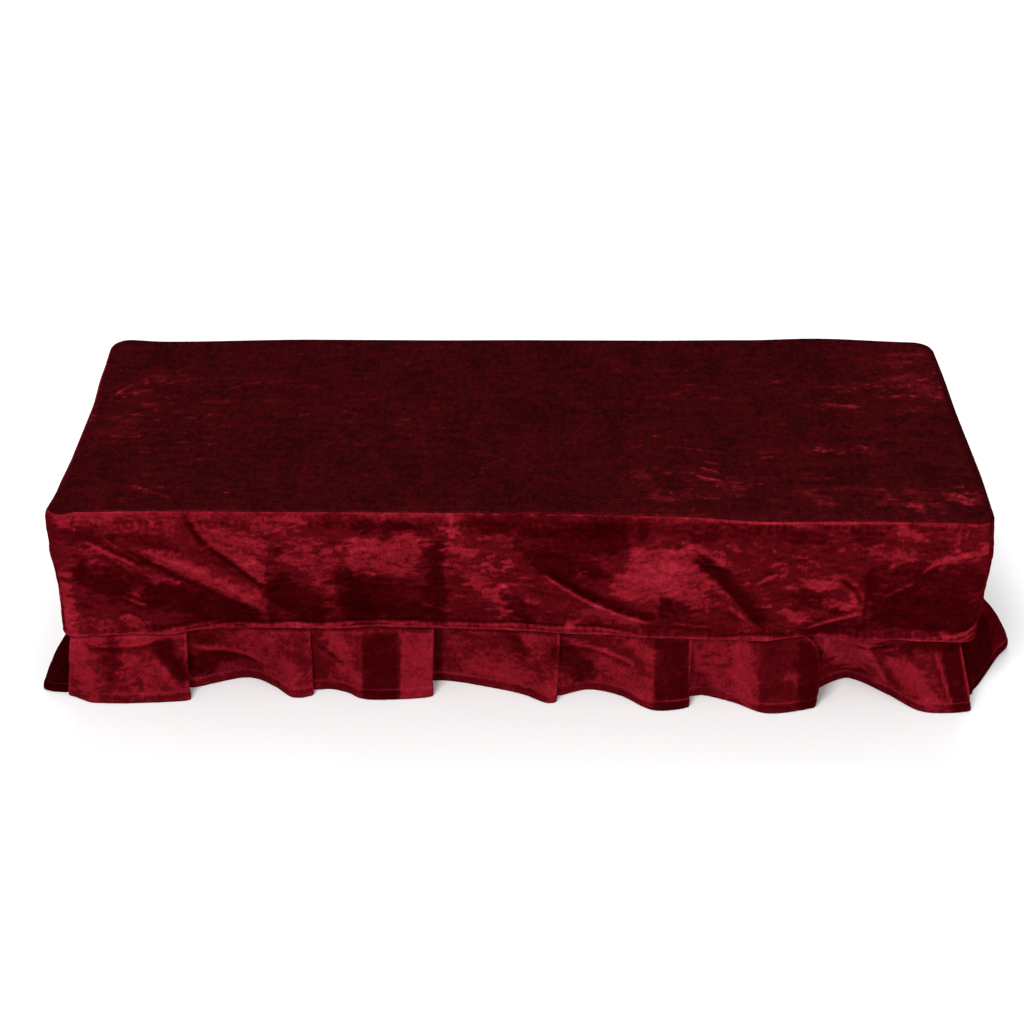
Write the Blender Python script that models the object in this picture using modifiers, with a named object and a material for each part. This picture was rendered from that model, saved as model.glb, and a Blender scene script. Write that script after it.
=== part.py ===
"""Fitted velvet cover for a piano bench: a flat top, a band of four panels and a knife-pleated skirt.

Metres, +Z up. The front faces -Y and X runs to the right. The origin is the middle of the top's underside,
where the bench's seat bears. The cover is hollow and open below, so that it drops over its bench. Sizes are
in millimetres: along runs along a side from its left end to its right end as seen from outside, zero at the
middle, and out is the distance outside that side's plane, negative towards the inside.
"""

import math
from collections import namedtuple

import bmesh
import bpy
from mathutils import Matrix, Vector

MM = 0.001

# Driving sizes, in millimetres
WIDTH = 750.0
DEPTH = 350.0
BAND_HEIGHT = 115.0
HEIGHT = 169.5
SKIRT_CUT = 61.5
CORNER_R = 15.0
EDGE_R = 6.0
TOP_TURN = 45.0
BAND_TURN = 59.0
CLOTH = 2.0
SKIRT_CLOTH = 1.2
GAP = 0.3

# Levels, with the top's flat outer face one cloth above the origin
TOP_Z = CLOTH
SEAM_Z = TOP_Z - BAND_HEIGHT
HEM_Z = TOP_Z - HEIGHT

# The skirt behind its seam: how far a pleat reaches under its face, the pitch of the pleats' layers, the seam
# allowance above the seam, and the clearance to the band's inner face
UNDERLAY = 18.0
LAYER = 1.8
ALLOWANCE = 6.0
SKIRT_GAP = 0.8

# The skirt flares from this far below its seam
FLARE_BELOW = 1.0

# How far inside their side's end the long strips start, at a fold round the corner of the band
STRIP_START = {"front": 7.5, "back": 13.0}

# The side strips' ends turn in behind the front and back strips, this far inside them and this long
TUCK_IN = 13.0
TUCK_LENGTH = 24.0

# Mesh steps
ARC_STEPS = 3
TOP_LONG_STEPS = 30
TOP_SHORT_STEPS = 14
BAND_LONG_STEPS = 44
BAND_SHORT_STEPS = 24
BAND_LEVELS = (0.0, 0.1, 0.24, 0.4, 0.56, 0.72, 0.87, 1.0)
SKIRT_LEVELS = (0.0, 0.22, 0.6, 1.0)

Side = namedtuple("Side", "half reach heading")
SIDES = {
    "front": Side(WIDTH / 2, DEPTH / 2, 0),
    "right": Side(DEPTH / 2, WIDTH / 2, 90),
    "back": Side(WIDTH / 2, DEPTH / 2, 180),
    "left": Side(DEPTH / 2, WIDTH / 2, 270),
}

LONG = ("front", "back")

# How each side of the band hangs. rim, belly, waist and foot are its out at the top seam, a quarter of the
# way down, two thirds of the way down and at the skirt seam. lift raises the top seam and rise the skirt seam.
Hang = namedtuple("Hang", "along lift rim belly waist foot rise")
HANGS = {
    "front": (
        Hang(-370, 0, 5.5, 5, 0.5, -2, 0),
        Hang(-300, 0, 0, 1, -2, -6, 1),
        Hang(-232, 0, 0, 0.5, -3, -12, 5),
        Hang(-170, 0, 0, 1, -3, -13, 4),
        Hang(-100, 0, 0, 1, -4, -15, 5),
        Hang(-20, 0, 0, 0.5, -3, -13, 4),
        Hang(50, 0, 0, 2, -1, -10, 2),
        Hang(120, 0, 0, 2, 1, -6, 0),
        Hang(200, 0, 0, 2, 0, -5, -1),
        Hang(280, 0, 0, 1, 0, -6, 0),
        Hang(370, 0, 4, 6, 1.5, -4.5, 0),
    ),
    "right": (
        Hang(-170, 0, 4, 6, 1.5, -4.5, 0),
        Hang(-80, 1, 5.5, 7, 9, 16, 1),
        Hang(20, 2, 5, 6, 4, 4, 2),
        Hang(115, 4, 5.5, 5, 1, -4, 1),
        Hang(170, 5, 5, 4, 0, -6, 0),
    ),
    "back": (
        Hang(-370, 5, 5, 4, 0, -6, 0),
        Hang(-272, 7, 8, 5, 0, -6, 0),
        Hang(-205, 5, 8, 4, -2, -9, 3),
        Hang(-115, 4.5, 7, 3, -2, -11, 4),
        Hang(-10, 4.5, 6.5, 2, -1, -7, 0),
        Hang(85, 4, 6, 3, -3, -12, 4),
        Hang(190, 4, 6, 2, -2, -9, 2),
        Hang(330, 2, 4, 2, -1, -6, -1),
        Hang(370, 3.5, 4.5, 3, -2, -5, 0),
    ),
    "left": (
        Hang(-170, 3.5, 4.5, 3, -2, -5, 0),
        Hang(-108, 2, 3.5, 1, -3, -8, 1),
        Hang(-30, 1, 0.5, 0, -4, -9, 2),
        Hang(60, 0, 1, 0, -3, -8, 1),
        Hang(125, 0, 2.5, 2, -2, -6, 0),
        Hang(170, 0, 5.5, 5, 0.5, -2, 0),
    ),
}
HANG_AT = (0.0, 0.25, 0.66, 1.0)

# Slack folds of the band: a soft ridge from one point to the other, its height and half width. drop is the
# distance below the top seam, and a negative height is a trough.
Fold = namedtuple("Fold", "along drop along_end drop_end height spread")
FOLDS = {
    "front": (
        Fold(-310, 36, -206, 92, 3.0, 15),
        Fold(-262, 22, -205, 70, -2.5, 12),
        Fold(12, 44, 112, 98, 3.2, 13),
        Fold(118, 24, 122, 70, 3.0, 22),
        Fold(137, 40, 198, 103, -3.0, 14),
        Fold(212, 106, 278, 76, 2.6, 13),
        Fold(300, 50, 350, 36, 1.8, 16),
        Fold(-140, 30, -60, 46, 1.6, 16),
    ),
    "right": (
        Fold(-120, 90, -40, 46, 2.6, 15),
        Fold(40, 30, 100, 84, 2.4, 15),
    ),
    "back": (
        Fold(-290, 44, -190, 92, 2.8, 15),
        Fold(-60, 88, 40, 50, 2.6, 15),
        Fold(140, 36, 240, 80, -2.6, 14),
        Fold(260, 92, 320, 54, 2.4, 15),
    ),
    "left": (
        Fold(-110, 40, -20, 84, 2.6, 15),
        Fold(60, 92, 130, 50, 2.4, 15),
    ),
}

# Low creases of the top, in X and Y, with height and half width
Crease = namedtuple("Crease", "x y x_end y_end height spread")
CREASES = (
    Crease(-352, 92, -262, 128, 1.3, 14),
    Crease(-352, 48, -290, 82, 1.1, 12),
    Crease(-300, -96, -215, -128, 1.2, 14),
    Crease(110, -70, 152, -82, 1.4, 16),
    Crease(96, -98, 150, -104, 1.3, 14),
    Crease(200, 150, 330, 146, 1.2, 15),
    Crease(-60, 96, 40, 108, 1.0, 18),
)

# Each face of a skirt strip, which ends in a folded edge. At the hem it comes out from under the fold before
# it at enter, dips to hollow, passes mid, levels at shoulder and reaches the folded edge. fold_seam and
# fold_hem are where that edge stands, and tuck is how far the cloth turns back under it at the hem.
Face = namedtuple(
    "Face",
    "enter hollow_at hollow mid_at mid shoulder_at crest fold_seam fold_hem fold_out tuck",
)
FACES = {
    "front": (
        Face(-1, -366, 2, -360, 7, -350, 12, -274, -272, 7, 9),
        Face(-14, -223, -35, -203, -18, -186, -1, -173, -171, -4, 7),
        Face(-14, -157, -15, -143, -10, -128, 0.5, -71, -72, -3.5, 9),
        Face(-30, -56, -29, 2, -9, 23, 5, 32, 30, 4.5, 8),
        Face(-7, 58, -17, 83, -8, 111, 15.5, 141, 139, 11, 9),
        Face(-7, 152, -9, 178, 3, 202, 19, 233, 243, 10, 2),
        Face(-19, 273, -38, 303, -12, 331, 15, 360, 370, 14, 9),
    ),
    "right": (
        Face(1, -147, 8, -122, 21, -98, 34, -82, -80, 44, 9),
        Face(14, -50, -4, -24, 4, 4, 18, 28, 30, 18, 9),
        Face(-4, 60, -18, 92, -4, 128, 13, 160, 161, 14, 0),
    ),
    "back": (
        Face(-2, -366, 1, -358, 6, -344, 13, -268, -268, 9, 9),
        Face(-12, -230, -28, -204, -12, -182, 6, -162, -160, 3, 8),
        Face(-20, -128, -30, -98, -12, -76, 8, -56, -58, 6, 9),
        Face(-12, -28, -20, 2, -8, 26, 10, 46, 46, 7, 9),
        Face(-24, 72, -33, 98, -16, 124, 4, 150, 151, 2, 8),
        Face(-16, 178, -24, 204, -8, 226, 14, 254, 256, 11, 9),
        Face(-14, 282, -26, 310, -6, 334, 14, 360, 369, 12, 9),
    ),
    "left": (
        Face(2, -150, 4, -128, 10, -104, 20, -66, -66, 20, 9),
        Face(-14, -38, -26, -6, -12, 18, 8, 48, 47, 7, 9),
        Face(-18, 72, -24, 108, -6, 140, 19, 157, 161, 22.5, 0),
    ),
}

# A point of a skirt strip's course: its place at the seam and at the hem, and the steps to the next point
Key = namedtuple("Key", "seam_along seam_out hem_along hem_out steps")

# Dark on top, where the pile is seen against its lie, and brighter on what hangs
TOP_RGB = (0.09, 0.002, 0.009, 1.0)
BAND_RGB = (0.25, 0.005, 0.025, 1.0)
SKIRT_RGB = (0.28, 0.007, 0.030, 1.0)


def clear_scene():
    for obj in list(bpy.data.objects):
        bpy.data.objects.remove(obj, do_unlink=True)


def velvet(name, colour):
    """Pile cloth: deep red, rough and not metallic."""
    material = bpy.data.materials.new(f"velvet_{name}")
    material.use_nodes = True
    shader = material.node_tree.nodes["Principled BSDF"]
    shader.inputs["Base Color"].default_value = colour
    shader.inputs["Roughness"].default_value = 0.85
    shader.inputs["Metallic"].default_value = 0.0
    material.diffuse_color = colour
    return material


def on_side(side):
    """Where a side stands: its own X runs along it and its own -Y points out of the middle of its plane."""
    plan = SIDES[side]
    turn = Matrix.Rotation(math.radians(plan.heading), 4, "Z")
    return turn @ Matrix.Translation((0, -plan.reach * MM, 0))


def local(along, out, level):
    """A point in its side's own frame, in metres."""
    return MM * Vector((along, -out, level))


def ease(share):
    share = min(1.0, max(0.0, share))
    return share * share * (3 - 2 * share)


def between(rows, at, column):
    """A table's column at any place along it, eased from row to row."""
    if at <= rows[0].along:
        return getattr(rows[0], column)
    for low, high in zip(rows, rows[1:]):
        if at <= high.along:
            share = ease((at - low.along) / (high.along - low.along))
            return getattr(low, column) * (1 - share) + getattr(high, column) * share
    return getattr(rows[-1], column)


def hang(side, along, share):
    """The band's out at a share of its height below the top seam."""
    rows = HANGS[side]
    outs = [between(rows, along, column) for column in ("rim", "belly", "waist", "foot")]
    for low, high, out, next_out in zip(HANG_AT, HANG_AT[1:], outs, outs[1:]):
        if share <= high:
            eased = ease((share - low) / (high - low))
            return out * (1 - eased) + next_out * eased
    return outs[-1]


def ridge(x, y, x_start, y_start, x_end, y_end, spread):
    """1 on the line between two points, falling softly to 0 at the spread to its sides and at its ends."""
    run = math.hypot(x_end - x_start, y_end - y_start)
    ahead = ((x - x_start) * (x_end - x_start) + (y - y_start) * (y_end - y_start)) / run
    aside = ((x - x_start) * (y_end - y_start) - (y - y_start) * (x_end - x_start)) / run
    across = ease(1 - abs(aside) / (1.6 * spread))
    lengthwise = ease((ahead + spread) / (2 * spread)) * ease((run + spread - ahead) / (2 * spread))
    return across * lengthwise


def fold_relief(side, along, drop):
    """The height of the band's slack folds, none at its seams and corners."""
    height = sum(f.height * ridge(along, drop, *f[:4], f.spread) for f in FOLDS[side])
    from_corner = SIDES[side].half - abs(along)
    return height * ease(from_corner / 40) * ease(drop / 14) * ease((BAND_HEIGHT - ALLOWANCE - drop) / 16)


def outline(half, station):
    """Along, out and lean of the rounded outline: straight from station -1 to 1, and a half corner beyond."""
    straight = half - CORNER_R
    if abs(station) <= 1:
        return straight * station, 0.0, 0.0
    turn = math.radians(45) * (abs(station) - 1)
    along = straight + CORNER_R * math.sin(turn)
    return math.copysign(along, station), CORNER_R * (math.cos(turn) - 1), math.copysign(turn, station)


def stations(straight_steps, arc_steps=ARC_STEPS):
    """Stations of one side from the middle of a corner to the middle of the next."""
    straight = [-1 + 2 * i / straight_steps for i in range(straight_steps + 1)]
    arc = [1 + (i + 1) / arc_steps for i in range(arc_steps)]
    return [-s for s in reversed(arc)] + straight + arc


def ring_point(side, station, swell, level, trim=0.0):
    """A point of the outline moved out by swell, and at the outline's two ends back along it by trim."""
    along, out, lean = outline(SIDES[side].half, station)
    along += swell * math.sin(lean)
    out += swell * math.cos(lean)
    if abs(station) == 2:
        along -= math.copysign(trim * math.cos(lean), station)
        out += trim * math.sin(abs(lean))
    return local(along, out, level)


def seam_edge(side, station, turn, trim=0.0):
    """The turned-down edge between top and band: turn 0 degrees is level and 90 is upright."""
    along = outline(SIDES[side].half, station)[0]
    angle = math.radians(turn)
    swell = hang(side, along, 0) - EDGE_R * (1 - math.sin(angle))
    level = TOP_Z + between(HANGS[side], along, "lift") - EDGE_R * (1 - math.cos(angle))
    return ring_point(side, station, swell, level, trim)


def sheet(name, frame, columns, rows, shape, thickness, offset, colour):
    """A grid of cloth, its point in a column and row at shape(column, row), made thick by Solidify."""
    mesh = bpy.data.meshes.new(name)
    bm = bmesh.new()
    bmesh.ops.create_grid(bm, x_segments=columns, y_segments=rows, size=1.0)
    for vert in bm.verts:
        column = round((vert.co.x + 1) / 2 * columns)
        row = round((vert.co.y + 1) / 2 * rows)
        vert.co = shape(column, row)
    bm.to_mesh(mesh)
    bm.free()
    mesh.shade_smooth()
    mesh.materials.append(velvet(name, colour))
    obj = bpy.data.objects.new(name, mesh)
    obj.matrix_world = frame
    bpy.data.collections["piano_bench_cover"].objects.link(obj)
    solid = obj.modifiers.new("cloth", "SOLIDIFY")
    solid.thickness = thickness * MM
    solid.offset = offset


def top_level(x, y, edge_level):
    """The top's level in metres: its edges' lift dies away towards the flat middle, and creases cross it."""
    from_edge = min(WIDTH / 2 - abs(x), DEPTH / 2 - abs(y)) - EDGE_R
    relief = sum(c.height * ridge(x, y, *c[:4], c.spread) for c in CREASES) * ease(from_edge / 30)
    lift = (edge_level - MM * TOP_Z) * (1 - ease(from_edge / 80))
    return MM * (TOP_Z + relief) + lift


def top_ring(ring):
    """The turn and the four sides' stations of the ring-th loop in from the top's edge."""
    turn = TOP_TURN * (1 - ring / 2)
    long_side = stations(TOP_LONG_STEPS, ARC_STEPS - ring)
    short_side = stations(TOP_SHORT_STEPS, ARC_STEPS - ring)
    return {
        name: [on_side(name) @ seam_edge(name, s, turn) for s in (long_side if name in LONG else short_side)]
        for name in SIDES
    }


def make_top():
    """The top panel: two loops that turn its edge down round a sheet stretched between its four sides."""
    columns = TOP_LONG_STEPS + 2 * ARC_STEPS
    rows = TOP_SHORT_STEPS + 2 * ARC_STEPS
    rings = [top_ring(ring) for ring in range(3)]
    last = len(rings) - 1
    inner = rings[last]
    front, right = inner["front"], inner["right"]
    back, left = inner["back"][::-1], inner["left"][::-1]

    def on_loop(ring, column, row):
        loop = rings[ring]
        if row == ring:
            return loop["front"][column - ring]
        if row == rows - ring:
            return loop["back"][columns - ring - column]
        if column == ring:
            return loop["left"][rows - ring - row]
        return loop["right"][row - ring]

    def stretched(column, row):
        i, j = column - last, row - last
        u = (front[i].x - front[0].x) / (front[-1].x - front[0].x)
        v = (right[j].y - right[0].y) / (right[-1].y - right[0].y)
        point = front[i] * (1 - v) + back[i] * v + left[j] * (1 - u) + right[j] * u
        point -= front[0] * (1 - u) * (1 - v) + front[-1] * u * (1 - v)
        point -= back[0] * (1 - u) * v + back[-1] * u * v
        point.z = top_level(point.x / MM, point.y / MM, point.z)
        return point

    def shape(column, row):
        ring = min(column, row, columns - column, rows - row)
        return on_loop(ring, column, row) if ring <= last else stretched(column, row)

    sheet("top_panel", Matrix.Identity(4), columns, rows, shape, CLOTH, -1, TOP_RGB)


def make_band(side):
    """One panel of the band, from the top seam down to the skirt seam and from corner to corner."""
    steps = BAND_LONG_STEPS if side in LONG else BAND_SHORT_STEPS
    across = stations(steps)
    trim = GAP / 2 + CLOTH * math.sin(math.radians(45) / ARC_STEPS / 2)
    turns = (BAND_TURN, (BAND_TURN + 90) / 2)
    down = BAND_HEIGHT - EDGE_R
    rows = len(BAND_LEVELS) + len(turns) - 1

    def shape(column, row):
        station = across[column]
        step = rows - row
        if step < len(turns):
            return seam_edge(side, station, turns[step], trim)
        share = BAND_LEVELS[step - len(turns)]
        along = outline(SIDES[side].half, station)[0]
        lift = between(HANGS[side], along, "lift")
        rise = between(HANGS[side], along, "rise")
        swell = hang(side, along, share) + fold_relief(side, along, share * BAND_HEIGHT)
        return ring_point(side, station, swell, TOP_Z + lift - EDGE_R - share * (down + lift - rise), trim)

    sheet(f"band_{side}", on_side(side), len(across) - 1, rows, shape, CLOTH, -1, BAND_RGB)


def seam_out(side, along, layer):
    """The middle of the skirt's cloth at its seam, in a layer counted inwards from 0, next to the band."""
    inset = between(HANGS[side], along, "foot") - CLOTH - SKIRT_GAP - SKIRT_CLOTH / 2 - layer * LAYER
    past = abs(along) - (SIDES[side].half - CORNER_R)
    if past <= 0:
        return inset
    return math.sqrt(max(0.0, (CORNER_R + inset) ** 2 - past ** 2)) - CORNER_R


def layered(side, seam_along, layer, hem_along, hem_out, steps=1):
    """A key whose seam lies in one of the layers behind the band."""
    return Key(seam_along, seam_out(side, seam_along, layer), hem_along, hem_out, steps)


def strip_start(side):
    """The keys before the first face: folded back on the long strips, tucked in behind them on the short."""
    half = SIDES[side].half
    out = FACES[side][0].enter
    bend = LAYER / 2
    if side in LONG:
        seam, hem = -half + STRIP_START[side], -half + 2.5
        return [
            layered(side, seam + UNDERLAY, 1, hem + 20, out - 4),
            layered(side, seam + bend, 1, hem + 3, out - 3.5),
            layered(side, seam, 0.5, hem, out - 1.5),
            layered(side, seam + bend, 0, hem + 1.5, out),
        ]
    return [
        Key(-half + TUCK_IN, -TUCK_LENGTH, -half + 8, -16, 1),
        Key(-half + TUCK_IN, -17, -half + 10, -8, 1),
        Key(-half + TUCK_IN + 1.5, -11.5, -half + 13, 0, 1),
        layered(side, -half + 19, 0, -half + 17, out),
    ]


def strip_end(side):
    """The keys after the last face, to match strip_start."""
    half = SIDES[side].half
    face = FACES[side][-1]
    seam, hem, out = face.fold_seam, face.fold_hem, face.fold_out
    if side in LONG:
        return [
            layered(side, seam - LAYER / 2, 0, hem - 2, out),
            layered(side, seam, 0.5, hem, out - 2),
            layered(side, seam - LAYER / 2, 1, hem - 3, out - 4),
            layered(side, seam - UNDERLAY, 1, hem - 20, out - 8),
        ]
    return [
        layered(side, half - 17.5, 0.2, hem, out),
        Key(half - TUCK_IN - 1, -12.5, hem + 4.5, out - 2, 1),
        Key(half - TUCK_IN, -18, half - 8, out - 12, 1),
        Key(half - TUCK_IN, -TUCK_LENGTH, half - 8, -12, 1),
    ]


def pleat(side, face, enter):
    """The keys of a fold and of the cloth's way back under its face to where the next face comes out."""
    seam, hem, out = face.fold_seam, face.fold_hem, face.fold_out
    bend = LAYER / 2
    step = enter - out
    return [
        layered(side, seam - bend, 0, hem - 2, out),
        layered(side, seam, 0.5, hem, out - 2),
        layered(side, seam - bend, 1, hem - 0.4 * face.tuck, out + 0.25 * step),
        layered(side, seam - UNDERLAY + bend, 1, hem - 0.9 * face.tuck, out + 0.55 * step),
        layered(side, seam - UNDERLAY, 1.5, hem - face.tuck, out + 0.75 * step),
        layered(side, seam - UNDERLAY + bend, 2, hem - 0.8 * face.tuck, out + 0.92 * step),
        layered(side, seam + 3, 1.8, hem + 3, enter, 2),
    ]


def strip_keys(side):
    """The strip's whole course in plan, face by face."""
    faces = FACES[side]
    keys = strip_start(side)
    for number, face in enumerate(faces):
        from_seam, from_hem = keys[-1].seam_along, keys[-1].hem_along
        run = (face.fold_seam - from_seam) / (face.fold_hem - from_hem)
        across = (
            (face.hollow_at, face.hollow, 0.6, 2),
            (face.mid_at, face.mid, 0.1, 2),
            (face.shoulder_at, face.crest, 0.0, 1 if face is faces[-1] else 2),
        )
        for hem_along, hem_out, layer, steps in across:
            seam_along = from_seam + (hem_along - from_hem) * run
            keys.append(layered(side, seam_along, layer if number else 0, hem_along, hem_out, steps))
        if face is not faces[-1]:
            keys += pleat(side, face, faces[number + 1].enter)
    return keys + strip_end(side)


def curve_through(points, counts):
    """A smooth plan curve through points, with counts steps in each span: centripetal Catmull-Rom."""
    path = [2 * points[0] - points[1], *points, 2 * points[-1] - points[-2]]
    made = []
    for i, count in enumerate(counts):
        p0, p1, p2, p3 = path[i:i + 4]
        t1 = math.sqrt((p1 - p0).length)
        t2 = t1 + math.sqrt((p2 - p1).length)
        t3 = t2 + math.sqrt((p3 - p2).length)
        for step in range(count):
            t = t1 + (t2 - t1) * step / count
            a1 = p0.lerp(p1, t / t1)
            a2 = p1.lerp(p2, (t - t1) / (t2 - t1))
            a3 = p2.lerp(p3, (t - t2) / (t3 - t2))
            b1 = a1.lerp(a2, t / t2)
            b2 = a2.lerp(a3, (t - t1) / (t3 - t1))
            made.append(b1.lerp(b2, (t - t1) / (t2 - t1)))
    made.append(points[-1])
    return made


def flare(share):
    """How much of the way out to the hem's place the cloth stands, at a share of the way down."""
    return 1 - (1 - share) ** 1.35


def make_skirt(side):
    """One pleated strip, from its allowance behind the band down to the hem."""
    keys = strip_keys(side)
    counts = [key.steps for key in keys[:-1]]
    seam = curve_through([Vector((key.seam_along, key.seam_out)) for key in keys], counts)
    hem = curve_through([Vector((key.hem_along, key.hem_out)) for key in keys], counts)
    for point in seam:
        point.y = min(point.y, seam_out(side, point.x, 0))
    rows = len(SKIRT_LEVELS)

    def shape(column, row):
        top, low = seam[column], hem[column]
        seam_z = SEAM_Z + between(HANGS[side], top.x, "rise")
        if row == rows:
            lean = hang(side, top.x, 1) - hang(side, top.x, 1 - ALLOWANCE / BAND_HEIGHT)
            return local(top.x, top.y - max(0.0, lean), seam_z + ALLOWANCE)
        share = SKIRT_LEVELS[rows - 1 - row]
        reach = (low - top).length
        drop = min(SEAM_Z - HEM_Z, math.sqrt(SKIRT_CUT ** 2 - reach ** 2))
        spot = top.lerp(low, flare(share))
        flare_z = seam_z - FLARE_BELOW
        return local(spot.x, spot.y, flare_z + (SEAM_Z - drop - flare_z) * share)

    sheet(f"skirt_{side}", on_side(side), len(seam) - 1, rows, shape, SKIRT_CLOTH, 0, SKIRT_RGB)


def main():
    clear_scene()
    cover = bpy.data.collections.new("piano_bench_cover")
    bpy.context.scene.collection.children.link(cover)
    make_top()
    for side in SIDES:
        make_band(side)
        make_skirt(side)


main()
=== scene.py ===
"""Looks of the fitted velvet cover for a piano bench.

Each packed cloth solid is replaced by a thin sheet of crushed velvet that hangs on the same folds, with
its creases, seams, hem and nap. Sizes are in millimetres unless a line says metres. The front faces -Y.
Along runs along a side from its left end to its right end as seen from outside, zero at the middle, out is
the distance outside that side's plane, and drop is the distance below a panel's upper seam. A tone is how
bright the cloth looks, from 0 to 1: the pile's own patches and streaks together with painted highlights and
painted shade, and marks and creases add to it.
"""

import math
from collections import namedtuple

import bpy
import numpy as np
from mathutils import Matrix, Vector


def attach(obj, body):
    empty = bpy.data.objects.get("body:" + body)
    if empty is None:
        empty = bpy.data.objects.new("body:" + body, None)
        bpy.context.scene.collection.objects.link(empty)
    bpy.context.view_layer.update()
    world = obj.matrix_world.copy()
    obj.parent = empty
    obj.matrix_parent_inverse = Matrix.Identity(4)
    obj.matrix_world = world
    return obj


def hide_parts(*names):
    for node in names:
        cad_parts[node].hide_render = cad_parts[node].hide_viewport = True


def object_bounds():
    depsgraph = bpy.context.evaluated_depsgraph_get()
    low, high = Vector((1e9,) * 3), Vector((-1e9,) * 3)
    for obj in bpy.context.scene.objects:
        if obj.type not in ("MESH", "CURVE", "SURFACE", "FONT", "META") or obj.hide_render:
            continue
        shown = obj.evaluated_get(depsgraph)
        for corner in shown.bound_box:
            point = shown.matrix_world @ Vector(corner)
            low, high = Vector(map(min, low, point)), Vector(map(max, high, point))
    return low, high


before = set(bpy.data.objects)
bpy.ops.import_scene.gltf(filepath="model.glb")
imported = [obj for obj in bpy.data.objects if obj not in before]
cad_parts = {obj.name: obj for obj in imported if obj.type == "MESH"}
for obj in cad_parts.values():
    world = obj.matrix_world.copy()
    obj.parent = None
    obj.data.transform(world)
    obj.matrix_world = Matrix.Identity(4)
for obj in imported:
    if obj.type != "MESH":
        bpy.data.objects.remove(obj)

cad_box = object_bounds()


def rows_of(kind, *rows):
    """A table whose rows are all of one kind."""
    return [kind(*row) for row in rows]


def by_side(kind, **sides):
    """A table of one kind of row for each side of the cover."""
    return {side: rows_of(kind, *rows) for side, rows in sides.items()}


MM = 0.001

# Sizes of the cover, as its solids have them. EDGE_R rounds the edge between the top and the band.
WIDTH = 750.0
DEPTH = 350.0
BAND_HEIGHT = 115.0
HEIGHT = 169.5
SKIRT_CUT = 61.5
CORNER_R = 15.0
EDGE_R = 6.0
SOLID_CLOTH = 2.0
SOLID_SKIRT = 1.2
TOP_Z = SOLID_CLOTH
SEAM_Z = TOP_Z - BAND_HEIGHT
HEM_Z = TOP_Z - HEIGHT
SKIRT_DROP = SEAM_Z - HEM_Z

# The skirt's make: how far a fold's cloth turns back at the seam, how far apart its layers lie, how far the
# bend between two of them reaches, how far the cloth goes on above the seam, its gap to the band, and how
# far below the seam it turns outwards
UNDERLAY = 18.0
LAYER = 1.8
BEND = LAYER / 2
ALLOWANCE = 6.0
SKIRT_GAP = 0.8
FLARE_BELOW = 1.0

# How far from their corners the long strips' first folds stand, and where the short strips are tucked
# behind them: how far from the corner and how deep
STRIP_START = {"front": 7.5, "back": 13.0}
TUCK_IN = 13.0
TUCK_LENGTH = 24.0

# How soon a skirt strip turns outwards below its seam: 1 is a straight slope, and more flares sooner
FLARE_BEND = {"front": 1.35, "right": 1.65, "back": 1.35, "left": 1.35}

# The sheets: their thickness, and how their edges roll into the seams
CLOTH = 1.2
SKIRT_CLOTH = 1.0
ROLL = 1.5
ROLL_TAIL = 1.2
SEAM_SPARE = 0.05

# The hem: its depth and how much fuller it is than the cloth, then its stitches, how far their row keeps
# from the strip's ends, and how each rises from the cloth and dips back into it
HEM_DEPTH = 7.5
HEM_FULLNESS = 0.3
STITCH_PITCH = 3.4
STITCH_LENGTH = 2.5
STITCHES_FROM = 3.0
STITCHES_TO_END = 5.0
STITCH_RISE = (-0.1, 0.2, 0.3, 0.2, -0.1)
THREAD = 0.34

# Mesh steps: how many along the top's sides and round half a corner, how long they are on the band and the
# skirt, and the skirt's rows above its hem, from a share of its drop up to its seam, and those of the hem
TOP_LONG_STEPS = 288
TOP_SHORT_STEPS = 130
TOP_ARC_STEPS = 10
BAND_STEP = {"front": 1.5, "right": 2.0, "back": 2.0, "left": 2.0}
BAND_ARC_STEPS = 6
SKIRT_STEP = 2.0
SKIRT_ROWS = 23
SKIRT_ROWS_FROM = 0.84
HEM_ROWS = 9

# The rows of a rounded edge, from inside the seam out and on to where the cloth leaves the edge. share is
# how far round towards the seam a row lies.
EdgeRow = namedtuple("EdgeRow", "share curl tail")
EDGE_ROWS = rows_of(
    EdgeRow,
    (1, 90, ROLL_TAIL), (1, 90, 0), (1, 60, 0), (1, 30, 0), (1, 0, 0), (0.66, 0, 0), (0.33, 0, 0),
)

# Each side of the cover: half its length, its distance from the middle and how far it is turned from the
# front, in degrees
Side = namedtuple("Side", "half reach heading")
SIDES = {
    "front": Side(WIDTH / 2, DEPTH / 2, 0),
    "right": Side(DEPTH / 2, WIDTH / 2, 90),
    "back": Side(WIDTH / 2, DEPTH / 2, 180),
    "left": Side(DEPTH / 2, WIDTH / 2, 270),
}
LONG = ("front", "back")

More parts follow.
